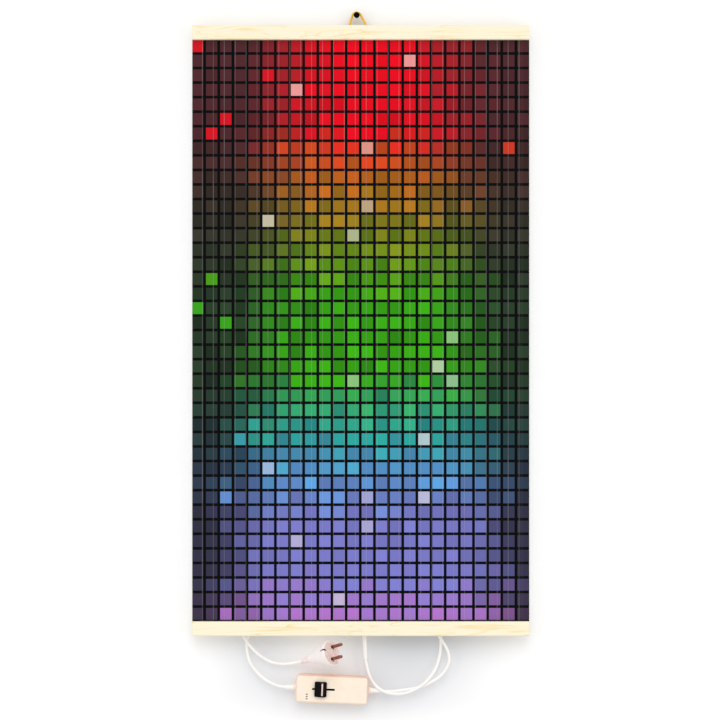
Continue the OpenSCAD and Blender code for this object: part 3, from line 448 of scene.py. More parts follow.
def wave(x, z):
    """How far the film stands forward of flat, in metres: none under the laths."""
    u = (z - LEDGE_Z) / (UPPER_EDGE_Z - LEDGE_Z)
    if not 0 < u < 1:
        return 0
    across = (x - PANEL_X) / PANEL_W
    hold = min(1, WAVE_HOLD * u, WAVE_HOLD * (1 - u))
    ripple = 1 + sum(RIPPLE_SHARE * math.sin(side * across + up * u) for side, up in RIPPLES)
    return WAVE_DEPTH * MM * hold * ripple


def ridge_height(run, step, z):
    """Height of a ridge at one step of its width; it wanders a little along the run."""
    phase, pace = ridge_phase[run]
    inside = min((z - LEDGE_Z) / MM + RIDGE_RUN_IN, (UPPER_EDGE_Z - z) / MM + RIDGE_RUN_IN)
    if inside <= 0:
        return 0
    beat = math.sin(phase + SWELL_RATE * pace * z) * math.sin(2 * phase + SWELL_BEAT * z)
    swell = 1 - SWELL_SHARE + SWELL_SHARE * beat
    x = step * RIDGE_W / 2
    arc = math.sqrt(RIDGE_R**2 - x * x) - (RIDGE_R - RIDGE_H)
    return arc * MM * swell * min(1, inside / RIDGE_END)


def film_columns():
    """(x, run, step) of each column of the front film; run is None between ridges."""
    columns = [(PANEL_X - PANEL_W / 2, None, 0)]
    for run in range(RUN_COUNT):
        middle = PANEL_X + (run - (RUN_COUNT - 1) / 2) * RUN_PITCH * MM
        start = middle - RIDGE_W / 2 * MM
        last = columns[-1][0]
        columns += [(last + (start - last) * i / FLAT_STEPS, None, 0) for i in range(1, FLAT_STEPS)]
        columns += [(middle + s * RIDGE_W / 2 * MM, run, s) for s in RIDGE_STEPS]
    columns.append((PANEL_X + PANEL_W / 2, None, 0))
    return columns


def film_rows():
    edges = [FILM_BOTTOM, LEDGE_Z - RIDGE_RUN_IN * MM, LEDGE_Z]
    shown = [LEDGE_Z + (UPPER_EDGE_Z - LEDGE_Z) * (i + 1) / ROW_COUNT for i in range(ROW_COUNT)]
    return [*edges, *shown, UPPER_EDGE_Z + RIDGE_RUN_IN * MM, FILM_TOP]


def sheet_mesh(name, columns, rows, front_y, back_y):
    """One face of a film with a rim turned back to its other face."""
    points, faces = [], []
    wide = len(columns)
    for z in rows:
        for x, run, step in columns:
            y = front_y - wave(x, z)
            if run is not None:
                y -= ridge_height(run, step, z)
            points.append((x, y, z))
    for j in range(len(rows) - 1):
        for i in range(wide - 1):
            a = j * wide + i
            faces.append((a, a + 1, a + wide + 1, a + wide))
    top = (len(rows) - 1) * wide
    rim = [*range(wide), *(j * wide + wide - 1 for j in range(1, len(rows)))]
    rim += [top + i for i in range(wide - 2, -1, -1)]
    rim += [j * wide for j in range(len(rows) - 2, 0, -1)]
    first = len(points)
    for k in rim:
        x, y, z = points[k]
        points.append((x, back_y - wave(x, z), z))
    for i, k in enumerate(rim):
        after = (i + 1) % len(rim)
        faces.append((rim[after], k, first + i, first + after))
    return mesh_object(name, points, faces)


def make_films():
    columns, rows = film_columns(), film_rows()
    front = sheet_mesh("film_print", columns, rows, FILM_FRONT_Y, FILM_JOINT_Y)
    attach(front, "panel")
    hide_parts("printed_film")
    plain = [(x, None, 0) for x, run, step in columns if run is None or abs(step) == 1]
    back = sheet_mesh("film_back", plain[::-1], rows[::2] + rows[-1:], FILM_BACK_Y, FILM_JOINT_Y)
    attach(back, "panel")
    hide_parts("back_film")
    return front, back


film_front, film_back = make_films()


# Coil ties: a woven strap round the turns at the top of each coil, with a loose tail

TIE_W = 6
TIE_T = 0.7
TIE_CORNER = 1.6
TIE_CORNER_STEP = 15
# Loose tail: length, thickness, gap to the strap, how far it curls away, and its taper
TIE_TAIL = 9
TAIL_ROWS = 6
TAIL_T = 0.6
TAIL_GAP = 0.15
TAIL_CURL = 0.9
TAIL_TAPER = 0.25
TAPER_START = 0.7
# Section of the strap: shares of its width across and of its thickness in from the outer face
TIE_SECTION = [
    (-0.5, 0.25), (-0.42, 0), (0.42, 0), (0.5, 0.25),
    (0.5, 0.75), (0.42, 1), (-0.42, 1), (-0.5, 0.75),
]


def make_tie(name, cad_node):
    low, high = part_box(cad_node)
    middle_x = (low.x + high.x) / 2
    outline = []
    r = (TIE_CORNER + TIE_T) * MM
    for cy, cz, start in (
        (high.y - r, high.z - r, 0), (low.y + r, high.z - r, 90),
        (low.y + r, low.z + r, 180), (high.y - r, low.z + r, 270),
    ):
        for a in range(start, start + 91, TIE_CORNER_STEP):
            outline.append((cy + r * cosd(a), cz + r * sind(a), cosd(a), sind(a)))
    points, faces = [], []
    around = len(outline)
    for y, z, ny, nz in outline:
        for across, depth in TIE_SECTION:
            inset = depth * TIE_T * MM
            points.append((middle_x + across * TIE_W * MM, y - ny * inset, z - nz * inset))
    n = len(TIE_SECTION)
    for i in range(around):
        for k in range(n):
            a, b = i * n, (i + 1) % around * n
            faces.append((a + k, a + (k + 1) % n, b + (k + 1) % n, b + k))
    first = len(points)
    for j in range(TAIL_ROWS + 1):
        u = j / TAIL_ROWS
        y = high.y + (TAIL_GAP + TAIL_CURL * u * u) * MM
        z = high.z - r - u * TIE_TAIL * MM
        narrow = 1 - TAIL_TAPER * max(0, u - TAPER_START) / (1 - TAPER_START)
        for across, depth in TIE_SECTION:
            points.append((middle_x + across * narrow * TIE_W * MM, y + (1 - depth) * TAIL_T * MM, z))
    for j in range(TAIL_ROWS):
        for k in range(n):
            a = first + j * n
            faces.append((a + k, a + n + k, a + n + (k + 1) % n, a + (k + 1) % n))
    faces.append(tuple(first + k for k in range(n)))
    faces.append(tuple(first + TAIL_ROWS * n + k for k in reversed(range(n))))
    tie = mesh_object(name, points, faces)
    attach(tie, "panel")
    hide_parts(cad_node)
    return tie


heater_tie = make_tie("heater_lead_strap", "heater_coil_tie")
mains_tie = make_tie("mains_lead_strap", "mains_coil_tie")


# Materials

# Colour sockets of the mix node, which come after those for numbers and vectors
MIX_A = 6
MIX_B = 7
MIX_RESULT = 2
# Places of the deep and the pale tone in a noise
DEEP_AT = 0.3
PALE_AT = 0.7
BLOTCH_SCALE = 60
GRAIN_DEPTH = 0.2 * MM
STREAK_SCALE = 700
STREAK_RELIEF = 0.08
STREAK_DEPTH = 0.05 * MM
GLOSS_SPREAD = 0.06


def linear(colour):
    """Linear colour of a 0 to 255 display colour."""
    out = []
    for c in colour:
        c /= 255
        out.append(c / 12.92 if c <= 0.04045 else ((c + 0.055) / 1.055) ** 2.4)
    return (*out, 1)


class Graph:
    """A material's nodes, with short calls for the ones used here."""

    def __init__(self, name):
        self.material = bpy.data.materials.new(name)
        self.material.use_nodes = True
        self.tree = self.material.node_tree
        self.shader = self.tree.nodes["Principled BSDF"]

    def put(self, socket, value):
        if isinstance(value, bpy.types.NodeSocket):
            self.tree.links.new(value, socket)
        else:
            socket.default_value = value

    def add(self, kind, settings=(), **inputs):
        made = self.tree.nodes.new(kind)
        for key, value in settings:
            setattr(made, key, value)
        for key, value in inputs.items():
            self.put(made.inputs[key], value)
        return made

    def math(self, operation, a, b=0.0):
        made = self.tree.nodes.new("ShaderNodeMath")
        made.operation = operation
        self.put(made.inputs[0], a)
        self.put(made.inputs[1], b)
        return made.outputs[0]

    def place(self, scale=(1, 1, 1), rotation=(0, 0, 0)):
        """Coordinates in the model's frame, in metres, scaled and turned."""
        coordinates = self.add("ShaderNodeTexCoord").outputs["Object"]
        mapping = self.add("ShaderNodeMapping")
        self.put(mapping.inputs["Vector"], coordinates)
        self.put(mapping.inputs["Scale"], scale)
        self.put(mapping.inputs["Rotation"], rotation)
        return mapping.outputs["Vector"]

    def noise(self, vector, scale, detail=3.0, roughness=0.55, distortion=0.0):
        made = self.add(
            "ShaderNodeTexNoise", Vector=vector, Scale=scale, Detail=detail,
            Roughness=roughness, Distortion=distortion,
        )
        return made.outputs["Fac"]

    def ramp(self, factor, stops):
        """Colour by factor, from (place, display colour) stops."""
        made = self.tree.nodes.new("ShaderNodeValToRGB")
        elements = made.color_ramp.elements
        while len(elements) < len(stops):
            elements.new(1)
        for element, (place, colour) in zip(elements, stops):
            element.position = place
            element.color = linear(colour)
        self.put(made.inputs["Fac"], factor)
        return made.outputs["Color"]

    def mix(self, factor, a, b, blend="MIX"):
        made = self.tree.nodes.new("ShaderNodeMix")
        made.data_type = "RGBA"
        made.blend_type = blend
        self.put(made.inputs["Factor"], factor)
        self.put(made.inputs[MIX_A], a)
        self.put(made.inputs[MIX_B], b)
        return made.outputs[MIX_RESULT]

    def spread(self, value, low, high):
        """A 0 to 1 value spread over low to high."""
        return self.math("ADD", self.math("MULTIPLY", value, high - low), low)

    def along(self, origin, heading):
        """Distance along an axis from an origin, in millimetres."""
        place = self.add("ShaderNodeTexCoord").outputs["Object"]
        offset = self.add("ShaderNodeVectorMath", (("operation", "SUBTRACT"),))
        self.put(offset.inputs[0], place)
        self.put(offset.inputs[1], origin)
        return self.math("MULTIPLY", self.dot(offset.outputs[0], heading), 1 / MM)

    def facing(self, heading):
        """How squarely the surface faces a direction: 1 is square on."""
        return self.dot(self.add("ShaderNodeNewGeometry").outputs["Normal"], heading)

    def dot(self, vector, heading):
        made = self.add("ShaderNodeVectorMath", (("operation", "DOT_PRODUCT"),))
        self.put(made.inputs[0], vector)
        self.put(made.inputs[1], heading)
        return made.outputs["Value"]

    def bump(self, height, strength, distance):
        made = self.add("ShaderNodeBump", Strength=strength, Distance=distance, Height=height)
        self.put(self.shader.inputs["Normal"], made.outputs["Normal"])

    def finish(self, colour, roughness, metallic=0.0, specular=0.5):
        self.put(self.shader.inputs["Base Color"], colour)
        self.put(self.shader.inputs["Roughness"], roughness)
        self.put(self.shader.inputs["Metallic"], metallic)
        self.put(self.shader.inputs["Specular IOR Level"], specular)
        return self.material


def moulded(name, pale, deep, roughness, grain=900, relief=0.02, specular=0.45):
    """Moulded plastic: two close tones, fine grain and slightly uneven gloss."""
    g = Graph(name)
    tone = g.noise(g.place(), BLOTCH_SCALE, detail=2)
    fine = g.noise(g.place(), grain, detail=2)
    g.bump(fine, relief, GRAIN_DEPTH)
    colour = g.ramp(tone, [(DEEP_AT, deep), (PALE_AT, pale)])
    gloss = g.spread(fine, roughness - GLOSS_SPREAD, roughness + GLOSS_SPREAD)
    return g.finish(colour, gloss, specular=specular)


def two_tone(name, main, other, share, roughness, grain, relief, shaded=None, blotch=BLOTCH_SCALE):
    """Moulded plastic in two tones; share(graph) is 0 for the main tone and 1 for the other.

    shaded(graph) is 1 in recesses, which get painted shade.
    """
    g = Graph(name)
    tone = g.noise(g.place(), blotch, detail=2)
    fine = g.noise(g.place(), grain, detail=2)
    g.bump(fine, relief, GRAIN_DEPTH)
    first, second = (g.ramp(tone, [(DEEP_AT, deep), (PALE_AT, pale)]) for pale, deep in (main, other))
    colour = g.mix(share(g), first, second)
    if shaded:
        colour = g.mix(shaded(g), colour, linear(RECESS_SHADE))
    gloss = g.spread(fine, roughness - GLOSS_SPREAD, roughness + GLOSS_SPREAD)
    return g.finish(colour, gloss, specular=0.4)


def metal(name, pale, deep, roughness, stretch=(1, 1, 1)):
    """Metal with drawn or turned streaks along the long side of its stretch."""
    g = Graph(name)
    streaks = g.noise(g.place(stretch), STREAK_SCALE, detail=4)
    g.bump(streaks, STREAK_RELIEF, STREAK_DEPTH)
    colour = g.ramp(streaks, [(DEEP_AT, deep), (PALE_AT, pale)])
    gloss = g.spread(streaks, low=roughness - 0.08, high=roughness + 0.1)
    return g.finish(colour, gloss, metallic=1.0)


def grey(level):
    return (level, level, level)


# Pine: rings to a unit of slow noise, how a ring darkens, where bands show, and their shares
GRAIN_SLANT = 0.025
RING_COUNT = 9
RING_DARKENING = [(0.0, grey(0)), (0.62, grey(0)), (0.92, grey(255)), (1.0, grey(40))]
BAND_PATCHES = [(0.35, grey(0)), (0.62, grey(235))]
BAND_SHARE = 0.95
FIBRE_SHARE = 0.16
FIBRE_DEPTH = 0.15 * MM


def pine(name, ground, band, streak):
    """Planed pine: long slanting grain along X, with fine pores."""
    g = Graph(name)
    slow = g.noise(g.place((1, 8, 10), (0, GRAIN_SLANT, 0)), scale=5, detail=2, distortion=0.6)
    rings = g.math("FRACT", g.math("MULTIPLY", slow, RING_COUNT))
    late = g.ramp(rings, RING_DARKENING)
    patch = g.noise(g.place((3, 20, 30)), scale=4, detail=2)
    strength = g.math("MULTIPLY", late, g.ramp(patch, BAND_PATCHES))
    fibre = g.noise(g.place((25, 700, 900)), scale=3, detail=3)
    colour = g.mix(g.math("MULTIPLY", strength, BAND_SHARE), linear(ground), linear(band))
    colour = g.mix(g.math("MULTIPLY", fibre, FIBRE_SHARE), colour, linear(streak))
    g.bump(fibre, strength=0.12, distance=FIBRE_DEPTH)
    return g.finish(colour, g.spread(fibre, low=0.45, high=0.62), specular=0.3)


# Print on the film: a mosaic of squares on black, its hues ordered by height and dimmed to the sides

GRID_COLUMNS = 24
GRID_ROWS = 40
GRID_W = 21.0
GRID_H = 21.6
GRID_LINE_W = 4.1
GRID_LINE_H = 4.1
GRID_MIDDLE = 12.0
GRID_FIRST_X = -225.7
GRID_FIRST_Z = -57.6
RED = (235, 5, 30)
OCHRE = (185, 115, 25)
OLIVE = (135, 140, 25)
GREEN = (60, 180, 15)
TEAL = (45, 170, 165)
SKY = (95, 160, 225)
VIOLET = (125, 125, 205)
ORCHID = (175, 115, 200)
# Hues from the top of the film to its bottom
RAINBOW = [
    (0.0, RED), (0.16, RED), (0.26, OCHRE), (0.33, OLIVE), (0.44, GREEN), (0.58, GREEN),
    (0.68, TEAL), (0.75, SKY), (0.82, VIOLET), (0.92, VIOLET), (1.0, ORCHID),
]
# Squares at the film's sides: nearly this grey, with a trace of their hue
SIDE_GREY = (40, 40, 44)
SIDE_GREY_SHARE = 0.93
PRINT_BLACK = (3, 3, 5)
# Chance: the seed of the cells, and how far it shifts a square's hue (in rows) and its dimming
CELL_SEED = 7.0
HUE_SHIFT = 0.8
DIM_SHIFT = 0.06
# Where dimming starts and ends, as shares of the half width, at the top and at the bottom
DIM_START = (0.1, 0.54)
DIM_END = (0.76, 0.98)
# Uneven squares: full tone, and the most that chance takes off it
FULL_SHADE = 1.04
UNEVEN_MOST = 0.6
# Squares above these chances are lit or pale, the pale ones only this many columns from the middle
LIT_ABOVE = 0.955
LIT_SHARE = 0.75
PALE_ABOVE = 0.975
PALE_COLUMNS = 8.0
PALE_TONE = (236, 226, 220)
PALE_SHARE = (0.45, 0.95)
# Painted highlight lines along the threads' ridges, standing in for their glints: width, tone and share
CREST_W = 1.1
CREST_HIGHLIGHT_TONE = (214, 208, 210)
CREST_HIGHLIGHT_SHARE = (0.03, 0.16)


def printed():
    g = Graph("film_print")
    at = g.add("ShaderNodeSeparateXYZ")
    g.put(at.inputs[0], g.place((1 / MM, 1 / MM, 1 / MM)))
    u = g.math("DIVIDE", g.math("SUBTRACT", at.outputs["X"], GRID_FIRST_X - GRID_W), GRID_W)
    v = g.math("DIVIDE", g.math("SUBTRACT", GRID_FIRST_Z + GRID_H, at.outputs["Z"]), GRID_H)
    column, row = g.math("FLOOR", u), g.math("FLOOR", v)
    cell = g.add("ShaderNodeCombineXYZ", X=column, Y=row, Z=CELL_SEED)
    chance = g.add("ShaderNodeTexWhiteNoise", Vector=cell.outputs[0])
    split = g.add("ShaderNodeSeparateColor")
    g.put(split.inputs[0], chance.outputs["Color"])
    first, second, third = (split.outputs[i] for i in range(3))
    # hue by row, a little shuffled
    shuffled = g.math("ADD", g.math("ADD", row, 0.5), g.spread(first, -HUE_SHIFT, HUE_SHIFT))
    height = g.math("DIVIDE", shuffled, GRID_ROWS)
    middle = g.ramp(height, RAINBOW)
    side = g.mix(SIDE_GREY_SHARE, middle, linear(SIDE_GREY))
    # dimming to the sides, which starts further out towards the bottom
    off = g.math("ABSOLUTE", g.math("SUBTRACT", column, GRID_MIDDLE))
    shift = g.spread(second, -DIM_SHIFT, DIM_SHIFT)
    reach = g.math("ADD", g.math("DIVIDE", off, GRID_COLUMNS / 2), shift)
    dim = g.add("ShaderNodeMapRange", (("interpolation_type", "SMOOTHSTEP"),))
    g.put(dim.inputs["Value"], reach)
    g.put(dim.inputs["From Min"], g.spread(height, *DIM_START))
    g.put(dim.inputs["From Max"], g.spread(height, *DIM_END))
    colour = g.mix(dim.outputs[0], middle, side)
    # uneven squares, most of all at mid height
    belly = g.math("MULTIPLY", height, g.math("SUBTRACT", 1.0, height))
    uneven = g.spread(g.math("MULTIPLY", belly, 4.0), 0.0, UNEVEN_MOST)
    shade = g.math("SUBTRACT", FULL_SHADE, g.math("MULTIPLY", chance.outputs["Value"], uneven))
    even = g.add("ShaderNodeCombineColor", Red=shade, Green=shade, Blue=shade).outputs[0]
    colour = g.mix(1.0, colour, even, "MULTIPLY")
    # a few lit squares and a few pale ones
    lit = g.math("GREATER_THAN", third, LIT_ABOVE)
    colour = g.mix(g.math("MULTIPLY", lit, LIT_SHARE), colour, middle)
    near = g.math("LESS_THAN", off, PALE_COLUMNS)
    pale = g.math("MULTIPLY", g.math("GREATER_THAN", third, PALE_ABOVE), near)
    tint = g.mix(0.5, middle, linear(PALE_TONE))
    colour = g.mix(g.math("MULTIPLY", pale, g.spread(second, *PALE_SHARE)), colour, tint)
    # black lines between the squares
    edge_u = g.math("ABSOLUTE", g.math("SUBTRACT", g.math("FRACT", u), 0.5))
    edge_v = g.math("ABSOLUTE", g.math("SUBTRACT", g.math("FRACT", v), 0.5))
    line_u = g.math("GREATER_THAN", edge_u, 0.5 - GRID_LINE_W / GRID_W / 2)
    line_v = g.math("GREATER_THAN", edge_v, 0.5 - GRID_LINE_H / GRID_H / 2)
    colour = g.mix(g.math("MAXIMUM", line_u, line_v), colour, linear(PRINT_BLACK))
    # painted highlight along each thread's ridge, standing in for its glint, broken up by noise
    from_middle = g.math("SUBTRACT", at.outputs["X"], PANEL_X / MM)
    turn = g.math("ADD", g.math("DIVIDE", from_middle, RUN_PITCH), 0.5)
    crest = g.math("ABSOLUTE", g.math("SUBTRACT", g.math("FRACT", turn), 0.5))
    drawn = g.math("GREATER_THAN", crest, 0.5 - CREST_W / RUN_PITCH / 2)
    glint_breaks = g.noise(g.place((1, 1, 0.12)), scale=90, detail=3)
    strength = g.add("ShaderNodeMapRange")
    g.put(strength.inputs["Value"], glint_breaks)
    limits = (DEEP_AT, PALE_AT, *CREST_HIGHLIGHT_SHARE)
    for key, value in zip(("From Min", "From Max", "To Min", "To Max"), limits):
        g.put(strength.inputs[key], value)
    colour = g.mix(g.math("MULTIPLY", drawn, strength.outputs[0]), colour, linear(CREST_HIGHLIGHT_TONE))
    fine = g.noise(g.place((1, 1, 0.05)), scale=700, detail=3)
    g.bump(fine, strength=0.05, distance=GRAIN_DEPTH)
    return g.finish(colour, g.spread(fine, low=0.2, high=0.32), specular=0.07)


# The thread through the back film: half its width, its tone, and how much it shows and stands out
THREAD_HALF = 0.6
THREAD_TONE = (120, 120, 124)
THREAD_SHARE = 0.35
THREAD_RELIEF = 1.5


def back_sheet():
    """Pale back film: the thread's runs show through as faint lines, with a fine weave."""
    g = Graph("film_back")
    at = g.add("ShaderNodeSeparateXYZ")
    g.put(at.inputs[0], g.place((1 / MM, 1 / MM, 1 / MM)))
    turn = g.math("DIVIDE", g.math("SUBTRACT", at.outputs["X"], PANEL_X / MM), RUN_PITCH)
    off = g.math("ABSOLUTE", g.math("SUBTRACT", g.math("FRACT", turn), 0.5))
    line = g.math("LESS_THAN", off, THREAD_HALF / RUN_PITCH)
    weave = g.noise(g.place(), scale=1400, detail=2)
    cloud = g.noise(g.place(), scale=14, detail=3)
    colour = g.ramp(cloud, [(0.35, (231, 231, 228)), (0.65, (238, 238, 235))])
    colour = g.mix(g.math("MULTIPLY", line, THREAD_SHARE), colour, linear(THREAD_TONE))
    height = g.math("ADD", weave, g.math("MULTIPLY", line, THREAD_RELIEF))
    g.bump(height, strength=0.15, distance=0.3 * MM)
    return g.finish(colour, g.spread(weave, low=0.4, high=0.55), specular=0.35)


GOLD = [(0.3, (214, 153, 22)), (0.5, (246, 192, 50)), (0.7, (255, 222, 104))]


def rope():
    g = Graph("gold_cord")
    fibre = g.noise(g.place((1, 1, 0.35)), scale=3200, detail=3)
    colour = g.ramp(fibre, GOLD)
    g.bump(fibre, strength=0.3, distance=FIBRE_DEPTH)
    g.shader.inputs["Sheen Weight"].default_value = 0.3
    return g.finish(colour, g.spread(fibre, low=0.4, high=0.6), specular=0.4)


def strap():
    g = Graph("tie_fabric")
    weave = g.add("ShaderNodeTexChecker", Vector=g.place(), Scale=1800.0).outputs["Fac"]
    loops = g.noise(g.place(), scale=2500, detail=2)
    colour = g.ramp(g.spread(weave, low=0.4, high=0.6), [(0.4, (196, 196, 192)), (0.6, (222, 222, 218))])
    g.bump(g.math("ADD", weave, loops), strength=0.35, distance=FIBRE_DEPTH)
    g.shader.inputs["Sheen Weight"].default_value = 0.2
    return g.finish(colour, g.spread(loops, low=0.75, high=0.9), specular=0.2)


BOARD_GREEN = (18, 84, 40)
TRACE_GREEN = (60, 130, 70)
TRACE_SHARE = 0.5
# Turn that lays the traces on the board's upright face
BOARD_TURN = 1.57


def board():
    g = Graph("board")
    traces = g.add("ShaderNodeTexBrick", Vector=g.place((1, 1, 1), (BOARD_TURN, 0, 0)), Scale=160.0)
    fine = g.noise(g.place(), scale=900, detail=2)
    share = g.math("MULTIPLY", traces.outputs["Fac"], TRACE_SHARE)
    colour = g.mix(share, linear(BOARD_GREEN), linear(TRACE_GREEN))
    g.bump(traces.outputs["Fac"], strength=0.2, distance=0.1 * MM)
    return g.finish(colour, g.spread(fine, low=0.3, high=0.45))


def glass():
    g = Graph("fuse_glass")
    fine = g.noise(g.place(), scale=200, detail=2)
    g.shader.inputs["Transmission Weight"].default_value = 1.0
    return g.finish(g.ramp(fine, [(0.4, (225, 238, 238)), (0.6, (238, 246, 246))]), roughness=0.06)


FRONT = (0, -1, 0)
# Pale and deep tone of each plastic and metal
CREAM = ((254, 240, 221), (250, 233, 212))
# Peach is the painted shade on the controller shells' edges
PEACH_EDGE_SHADE = ((240, 196, 175), (232, 186, 165))
BLUSH = ((254, 242, 233), (249, 233, 222))
WHITE = ((255, 252, 249), (251, 247, 243))
PLUG_WHITE = ((255, 248, 245), (250, 239, 236))
PLUG_FACE = ((250, 228, 221), (222, 190, 182))
PLUG_BLOTCH = 330
INLAY = ((244, 216, 210), (228, 194, 188))
KNOB_BLACK = ((8, 4, 5), (3, 2, 2))
PIN_BRASS = ((176, 108, 94), (122, 68, 60))
# Painted shade at the pins' roots
PIN_ROOT_SHADE = (46, 26, 24)
RECESS_SHADE = (14, 9, 9)
# Painted shade on the shells' rounded edges and sides: where it starts and is full, by how squarely the
# surface faces front, and its strength
EDGE_FULL = 0.9
EDGE_NONE = 0.995
EDGE_SIDE = 0.62
EDGE_DEEP = 1.12
EDGE_LEAN = 0.9
SLOT_X = -12.6
SLOT_L = 34
SLOT_W = 3
SLOT_EDGE = 0.1
SLOT_FOOT = 18
TURNED_AWAY = 0.5
SQUARE_ON = 0.9
COLLAR_END = 58.2
# Length of the painted shade at the pins' roots
ROOT_SHADE_L = 3.5
INDEX_HALF = 9
NOTCH_W = 2.2
NOTCH_DARK_L = 6.5
NOTCH_DARK = 0.88
NOTCH_FLOOR = 14.6
RECESS_EDGE = 0.05
FACE_SKIN = 0.15


def shell_edge_shade(g):
    """Painted shade on the shells' rounded edges and sides, against their front and back; deepest at the
    upper right.
    """
    square_on = g.math("ABSOLUTE", g.facing(FRONT))
    edge = g.ramp(square_on, [(EDGE_FULL, grey(255)), (EDGE_NONE, grey(0))])
    deepest = (ctrl_up + EDGE_LEAN * ctrl_heading).normalized()
    return g.math("MULTIPLY", edge, g.spread(g.facing(deepest), EDGE_SIDE, EDGE_DEEP))


def in_slot(g):
    """The walls of the slider's slot, which stay in its shade."""
    ends = g.math("ABSOLUTE", g.math("SUBTRACT", g.along(ctrl_middle, ctrl_heading), SLOT_X))
    sides = g.math("ABSOLUTE", g.along(ctrl_middle, ctrl_up))
    beside = g.math("LESS_THAN", ends, SLOT_L / 2 + SLOT_EDGE)
    between = g.math("LESS_THAN", sides, SLOT_W / 2 + SLOT_EDGE)
    turned = g.math("LESS_THAN", g.facing(FRONT), TURNED_AWAY)
    near_front = g.math("GREATER_THAN", g.along(ctrl_middle, FRONT), SLOT_FOOT)
    share = g.math("MULTIPLY", g.math("MULTIPLY", beside, between), turned)
    return g.math("MULTIPLY", share, near_front)


def bush_collar(g):
    """The bushes' collars, against their tapered ends."""
    return g.math("LESS_THAN", g.math("ABSOLUTE", g.along(lead_axis, ctrl_heading)), COLLAR_END)


def plug_front(g):
    """The plug's flat front, against its cone."""
    return g.math("GREATER_THAN", g.facing(plug_heading), SQUARE_ON)


def in_notch(g):
    """The walls and floor of the two notches in the plug's rim, which get painted shade."""
    across = g.math("ABSOLUTE", g.along(plug_entry, plug_up))
    between = g.math("LESS_THAN", across, NOTCH_W / 2 + RECESS_EDGE)
    out = g.math("ABSOLUTE", g.along(plug_entry, plug_side))
    far_out = g.math("GREATER_THAN", out, NOTCH_FLOOR - RECESS_EDGE)
    near_face = g.math("GREATER_THAN", g.along(plug_entry, plug_heading), PLUG_L - NOTCH_DARK_L)
    inside = g.math("MULTIPLY", g.math("MULTIPLY", between, far_out), near_face)
    return g.math("MULTIPLY", inside, NOTCH_DARK)


def under_face(g):
    """The pin bridge below its front face: the walls and floors of its small holes, which get painted
    shade.
    """
    return g.math("LESS_THAN", g.along(plug_entry, plug_heading), PLUG_L - FACE_SKIN)


def index_end(g):
    """The two ends of the knob's index line, which run dark into the knob's edges."""
    return g.math("GREATER_THAN", g.math("ABSOLUTE", g.along(ctrl_middle, ctrl_up)), INDEX_HALF)


def pin_metal():
    """Tarnished brass pins, with painted shade darkening the root."""
    g = Graph("pin_brass")
    streaks = g.noise(g.place(), STREAK_SCALE, detail=4)
    out = g.math("SUBTRACT", g.along(plug_entry, plug_heading), PLUG_L)
    root = g.ramp(g.math("DIVIDE", out, ROOT_SHADE_L), [(0.5, grey(255)), (1.0, grey(0))])
    colour = g.ramp(streaks, [(DEEP_AT, PIN_BRASS[1]), (PALE_AT, PIN_BRASS[0])])
    colour = g.mix(root, colour, linear(PIN_ROOT_SHADE))
    g.bump(streaks, STREAK_RELIEF, STREAK_DEPTH)
    return g.finish(colour, g.spread(streaks, low=0.28, high=0.44), metallic=0.85)


pale_pine = pine("front_lath_pine", (252, 244, 217), (247, 216, 146), (240, 222, 178))
rear_pine = pine("rear_lath_pine", (240, 226, 192), (224, 184, 120), (214, 190, 146))
white_sheath = moulded("white_sheath", *WHITE, 0.42, grain=1500, relief=0.03)
white_plastic = moulded("white_plastic", *WHITE, 0.36)
plug_plastic = two_tone(
    "plug_plastic", PLUG_WHITE, PLUG_FACE, plug_front, 0.4, 1200, 0.04, in_notch, PLUG_BLOTCH
)
bridge_plastic = two_tone(
    "bridge_plastic", PLUG_WHITE, PLUG_FACE, plug_front, 0.4, 1200, 0.04, under_face, PLUG_BLOTCH
)
cream_plastic = two_tone("cream_plastic", CREAM, PEACH_EDGE_SHADE, shell_edge_shade, 0.4, 1800, 0.05, in_slot)
bush_plastic = two_tone("bush_plastic", WHITE, BLUSH, bush_collar, 0.42, 1500, 0.03)
black_gloss = moulded("black_gloss", (5, 5, 6), (2, 2, 3), 0.36, specular=0.04)
black_satin = moulded("black_satin", *KNOB_BLACK, 0.5, grain=2200, relief=0.08, specular=0.1)
pale_inlay = two_tone("pale_inlay", INLAY, KNOB_BLACK, index_end, 0.5, 900, 0.02)
steel = metal("steel", (206, 206, 208), (160, 160, 164), 0.3, (1, 1, 0.1))
brass = metal("brass", (212, 172, 92), (168, 126, 58), 0.32)
aluminium = metal("aluminium", (206, 207, 210), (170, 171, 176), 0.35, (1, 1, 0.1))
carbon = moulded("carbon_thread", (52, 52, 56), (30, 30, 33), 0.6, grain=4000, relief=0.2)

NODE_MATERIALS = {
    pale_pine: ["upper_front_lath", "lower_front_lath"],
    rear_pine: ["upper_rear_lath", "lower_rear_lath"],
    white_sheath: ["lead_sleeve"],
    bush_plastic: ["inlet_bush", "outlet_bush"],
    white_plastic: ["junction_cap"],
    plug_plastic: ["plug_body"],
    bridge_plastic: ["plug_bridge"],
    cream_plastic: ["controller_front_shell", "controller_rear_shell"],
    black_gloss: ["peg_head"],
    black_satin: ["slider_knob", "triac", "slider_wiper", "slide_pot_body"],
    pale_inlay: ["knob_index"],
    steel: ["hanging_cord_staples", "peg_nail", "controller_screws"],
    brass: ["upper_lath_screws", "lower_lath_screws", "thread_terminals"],
    pin_metal(): ["plug_pins"],
    aluminium: ["heat_sink"],
    board(): ["controller_board"],
    glass(): ["fuse"],
    moulded("capacitor_red", (150, 40, 34), (128, 28, 24), 0.35): ["capacitor"],
    metal("choke_copper", (196, 120, 70), (150, 82, 44), 0.35): ["choke"],
    moulded("terminal_green", (60, 138, 92), (44, 112, 72), 0.45): ["terminal_blocks"],
    carbon: ["heating_thread"],
}


